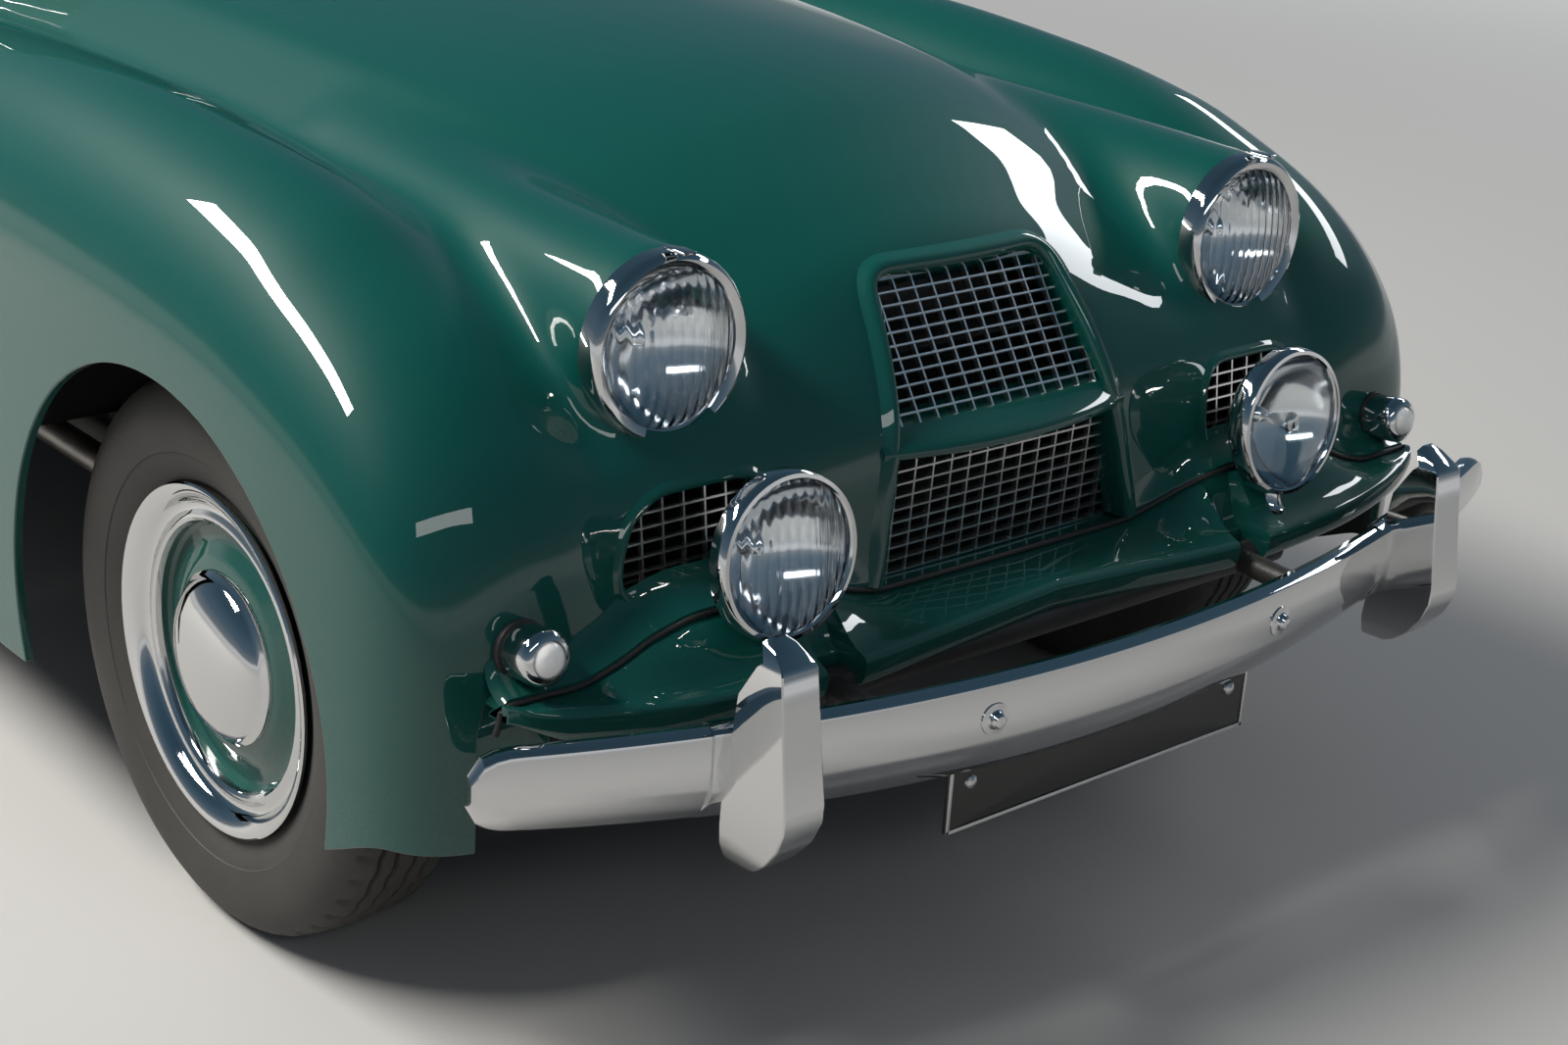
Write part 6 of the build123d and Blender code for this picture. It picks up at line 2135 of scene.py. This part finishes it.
# %% [markdown]
# ## Plates and tail lamps
# The plates stay blank: a black sheet with a proud silver edge and two bolts, the front one on two
# small brackets. Blocks do for the sheet and its edge. The tail lamps are turned like the others.

# %% Plates and tail lamps
PLATE_BOLT = [(0, 9, 1), (2.5, 8, 1), (5, 4.5, 1), (6, 0.0, 1)]
TAIL_RING = [(-6, 31), (10, 31), (15, 29), (17, 25.5), (14, 24.5), (12, 24)]
TAIL_DOME = [(12, 25, 1), (20, 24, 1), (27, 20, 1), (32, 12, 1), (34, 0.0, 1)]


def blank_plate(name, y0, y1, z, way):
    """A black plate with a proud silver edge and two bolts; it looks forward or back by way."""
    face = y0 if way < 0 else y1
    low, high = sorted((face, face + way * 1.2))
    top = z + 111
    parts = [box_arrays(-260, 260, y0, y1, z, top, 1.5)]
    edges = ((-260, 260, z, z + 5), (-260, 260, z + 106, top), (-260, -255, z, top))
    for x0, x1, z0, z1 in edges + ((255, 260, z, top),):
        parts.append(box_arrays(x0, x1, low - 0.3, high + 0.3, z0, z1, 0.6, 1))
    for x in (-226, 226):
        parts.append(turned_arrays(PLATE_BOLT, (x, face, z + 60), (0, way, 0), 24))
    if way < 0:
        for x in (-160, 160):
            parts.append(box_arrays(x - 12, x + 12, y1, y1 + 5, z + 20, 442, 1, 1))
    build_piece(name, parts, [PLATE_BLACK, PLATE_EDGE], "car", ("plates",))


blank_plate("front_plate", -716, -710, 272, -1)
blank_plate("rear_plate", 3900, 3906, 440, 1)
for side, way in SIDES:
    centre = (way * 572.0, 3894.0, 526.0)
    parts = [turned_arrays(TAIL_RING, centre, BACKWARDS, 64)]
    parts.append(turned_arrays(TAIL_DOME, centre, BACKWARDS, 48))
    build_piece(f"tail_lamp_{side}", parts, [CHROME, RED], "car", ("tail_lamps",), angle=40)
print("plates and tail lamps ready")

# %% [markdown]
# ## Finishes for the frame's own pieces
# The chassis, the engine, the exhaust, the dashboard and the handles are plain shapes on the real
# car as well. Drawing them again would add nothing, so they stay as the frame has them, and only
# get a finish.

# %% Dress the frame's pieces
def dress(finish, *nodes):
    """One finish for whole nodes of the frame."""
    for node in nodes:
        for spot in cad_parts[node].material_slots:
            spot.material = finish


dress(FRAME_BLACK, "chassis_frame", "front_suspension", "rear_axle", "fuel_tank", "radiator")
dress(FRAME_BLACK, "knuckle_left", "knuckle_right", "steering_column")
dress(CAST, "engine")
dress(STEEL, "exhaust")
dress(WALNUT, "dashboard")
WHEEL_BLACK = finish_of("black_wheel", (0.006, 0.006, 0.006), 0.0, 0.15, 1.0, 0.03)
dress(WHEEL_BLACK, "steering_wheel")
dress(CHROME, "door_handle_left", "door_handle_right")
print("frame pieces dressed")

# %% [markdown]
# ## Ducts behind the grilles
# Behind a grille the air runs through a sheet-metal duct to the radiator. Without it the eye
# would look through the mesh into a lit, empty shell. Plain open-fronted boxes are enough, since
# only their darkness shows: their near-black finish is painted shade for the shaded duct and radiator.

# %% Ducts
WALL = 4.0


def duct(x0, x1, z0, z1, y0, y1):
    """An open-fronted box."""
    outer = np.array([(x0, z0), (x1, z0), (x1, z1), (x0, z1)], float)
    mid = outer.mean(0)
    inner = outer + np.sign(mid - outer) * WALL
    rings = ((y0, outer), (y0, inner), (y1 - WALL, inner), (y1, outer))
    points = np.array([(x, y, z) for y, ring in rings for x, z in ring])
    k = np.arange(4)
    n = (k + 1) % 4
    faces = [np.stack([k + a, n + a, n + b, k + b], 1) for a, b in ((0, 4), (4, 8), (12, 0))]
    faces.append(np.array([[8, 9, 10, 11], [15, 14, 13, 12]]))
    faces = np.concatenate(faces)
    return points, faces, np.zeros(len(faces))


parts = [duct(-232, 232, 484, 668, -474, -330)]
parts += [duct(-190, 190, 668, 748, -424, -330), duct(-168, 168, 748, 822, -372, -300)]
parts += both_sides([duct(352, 592, 546, 676, -446, -330)])
# the ducts' near-black finish is painted shade behind the grille mesh
build_piece("grille_ducts", parts, [DIAL_BLACK_AND_PAINTED_SHADE], "front_clip")
print("ducts ready")

# %% [markdown]
# ## Tyres
# A tall crossply tyre has five ribs, a zigzag in its grooves, cuts in the shoulder and a full round
# wall with a bead line. The half section is turned, and single points are then pushed sideways or
# inwards as they go round. That is cheaper than cutting every groove.

# %% Tyres
ROUND = 300
AXLE = ((0, 0, 0), (1, 0, 0))


def tread_profile():
    """Half of the tyre from the crown outwards, then mirrored."""
    # place across, depth under the crown
    ribs = [(0, 0), (9, 0), (11, 7), (15, 7), (17, 0.6), (31, 1.2), (33, 8), (37, 8), (39, 2.2)]
    wall = [(55, 4.5), (60, 6.5), (66, 11), (72, 18), (77.5, 27), (81, 38), (83.2, 50)]
    wall += [(83.9, 64), (83, 78), (80.5, 92), (79.2, 93), (78.4, 96), (74, 108), (68.5, 120)]
    wall += [(66.5, 124), (64.5, 128), (60, 130), (55, 146)]
    half = [(a, TYRE_RADIUS - b) for a, b in ribs + wall]
    return [(-a, b) for a, b in reversed(half[1:])] + half


def tyre_part():
    """The turned tyre with its zigzag grooves and shoulder cuts."""
    profile = tread_profile()
    points, faces, index = turned_arrays(profile, *AXLE, ROUND)
    p = points.reshape(len(profile), ROUND, 3)
    phase = np.arange(ROUND) % 6
    zig = np.where(phase < 3, 1.4, -1.4)
    for i, (a, b) in enumerate(profile):
        if 8 < abs(a) < 40:
            p[i, :, 0] += zig
        if 39 <= abs(a) <= 62 and b > 336:
            deep = (phase == 0) * 4.5 * np.clip((abs(a) - 44) / 8, 0, 1)
            radial = p[i] * [0, 1, 1]
            p[i] -= radial / np.linalg.norm(radial, axis=1)[:, None] * deep[:, None]
    return p.reshape(-1, 3), faces, index


TYRE_PART = tyre_part()
print("tyre points", len(TYRE_PART[0]))

# %% [markdown]
# ## Wheels
# A pressed wheel is a dished disc in body colour with a bright trim ring snapped into its rim and a
# domed cap over the hub. Each is one turned section, and the finish changes along its rows. A part
# is drawn once round the x axis and then set at each of the four wheels.

# %% Wheels
# along the axle, radius, finish
RIM_ROWS = (
    (-74, 219), (-66, 219.5), (-60, 204), (54, 200), (60, 203, 1), (66, 214, 1),
    (71, 219, 1), (75, 219.5, 1), (77, 217, 1), (76, 213, 1), (72, 205, 1), (67, 199, 1),
    (61, 195.5, 1), (56, 192, 1), (54, 187, 1), (55, 182, 1), (58, 178, 1), (59, 173, 1),
    (56, 169, 1), (49, 167), (42, 165), (38, 160), (38, 152), (42, 140),
    (49, 126), (53, 114), (53, 104), (46, 96), (44, 60), (38, 40),
    (20, 30), (-4, 30), (-4, 60), (34, 100), (30, 160), (20, 190),
    (-58, 196), (-74, 212), (-74, 219),
)
CAP_ROWS = (
    (44, 100), (47, 108), (52, 109.5), (57, 108), (60, 104), (62, 101), (64, 99.5), (70, 95),
    (78, 84), (86, 66), (91, 44), (93.5, 22), (94.3, 0.0),
)


def placed(part, way, y):
    """A part drawn round the x axis with its outer face at +x, set at a wheel's centre."""
    points, faces, index = part
    return points * [way, 1, 1] + [way * WHEEL_X, y, TYRE_RADIUS], faces[:, ::way], index


# piece, arrays, finishes, node, sharp angle
WHEEL_PARTS = (
    ("wheel_disc", turned_arrays(RIM_ROWS, *AXLE, 96), [PAINT, CHROME], "wheel", 35),
    ("wheel_cap", turned_arrays(CAP_ROWS, *AXLE), [CHROME], "hubcap", 35),
    ("tyre_ribbed", TYRE_PART, [TYRE], "tyre", 30),
)
for end, y in (("front", 0.0), ("rear", WHEELBASE)):
    for side, way in SIDES:
        spot = f"{end}_{side}"
        for name, part, mats, node, angle in WHEEL_PARTS:
            parts = [placed(part, way, y)]
            build_piece(f"{name}_{spot}", parts, mats, f"wheel_{spot}", (f"{node}_{spot}",), angle)
print("wheels ready")
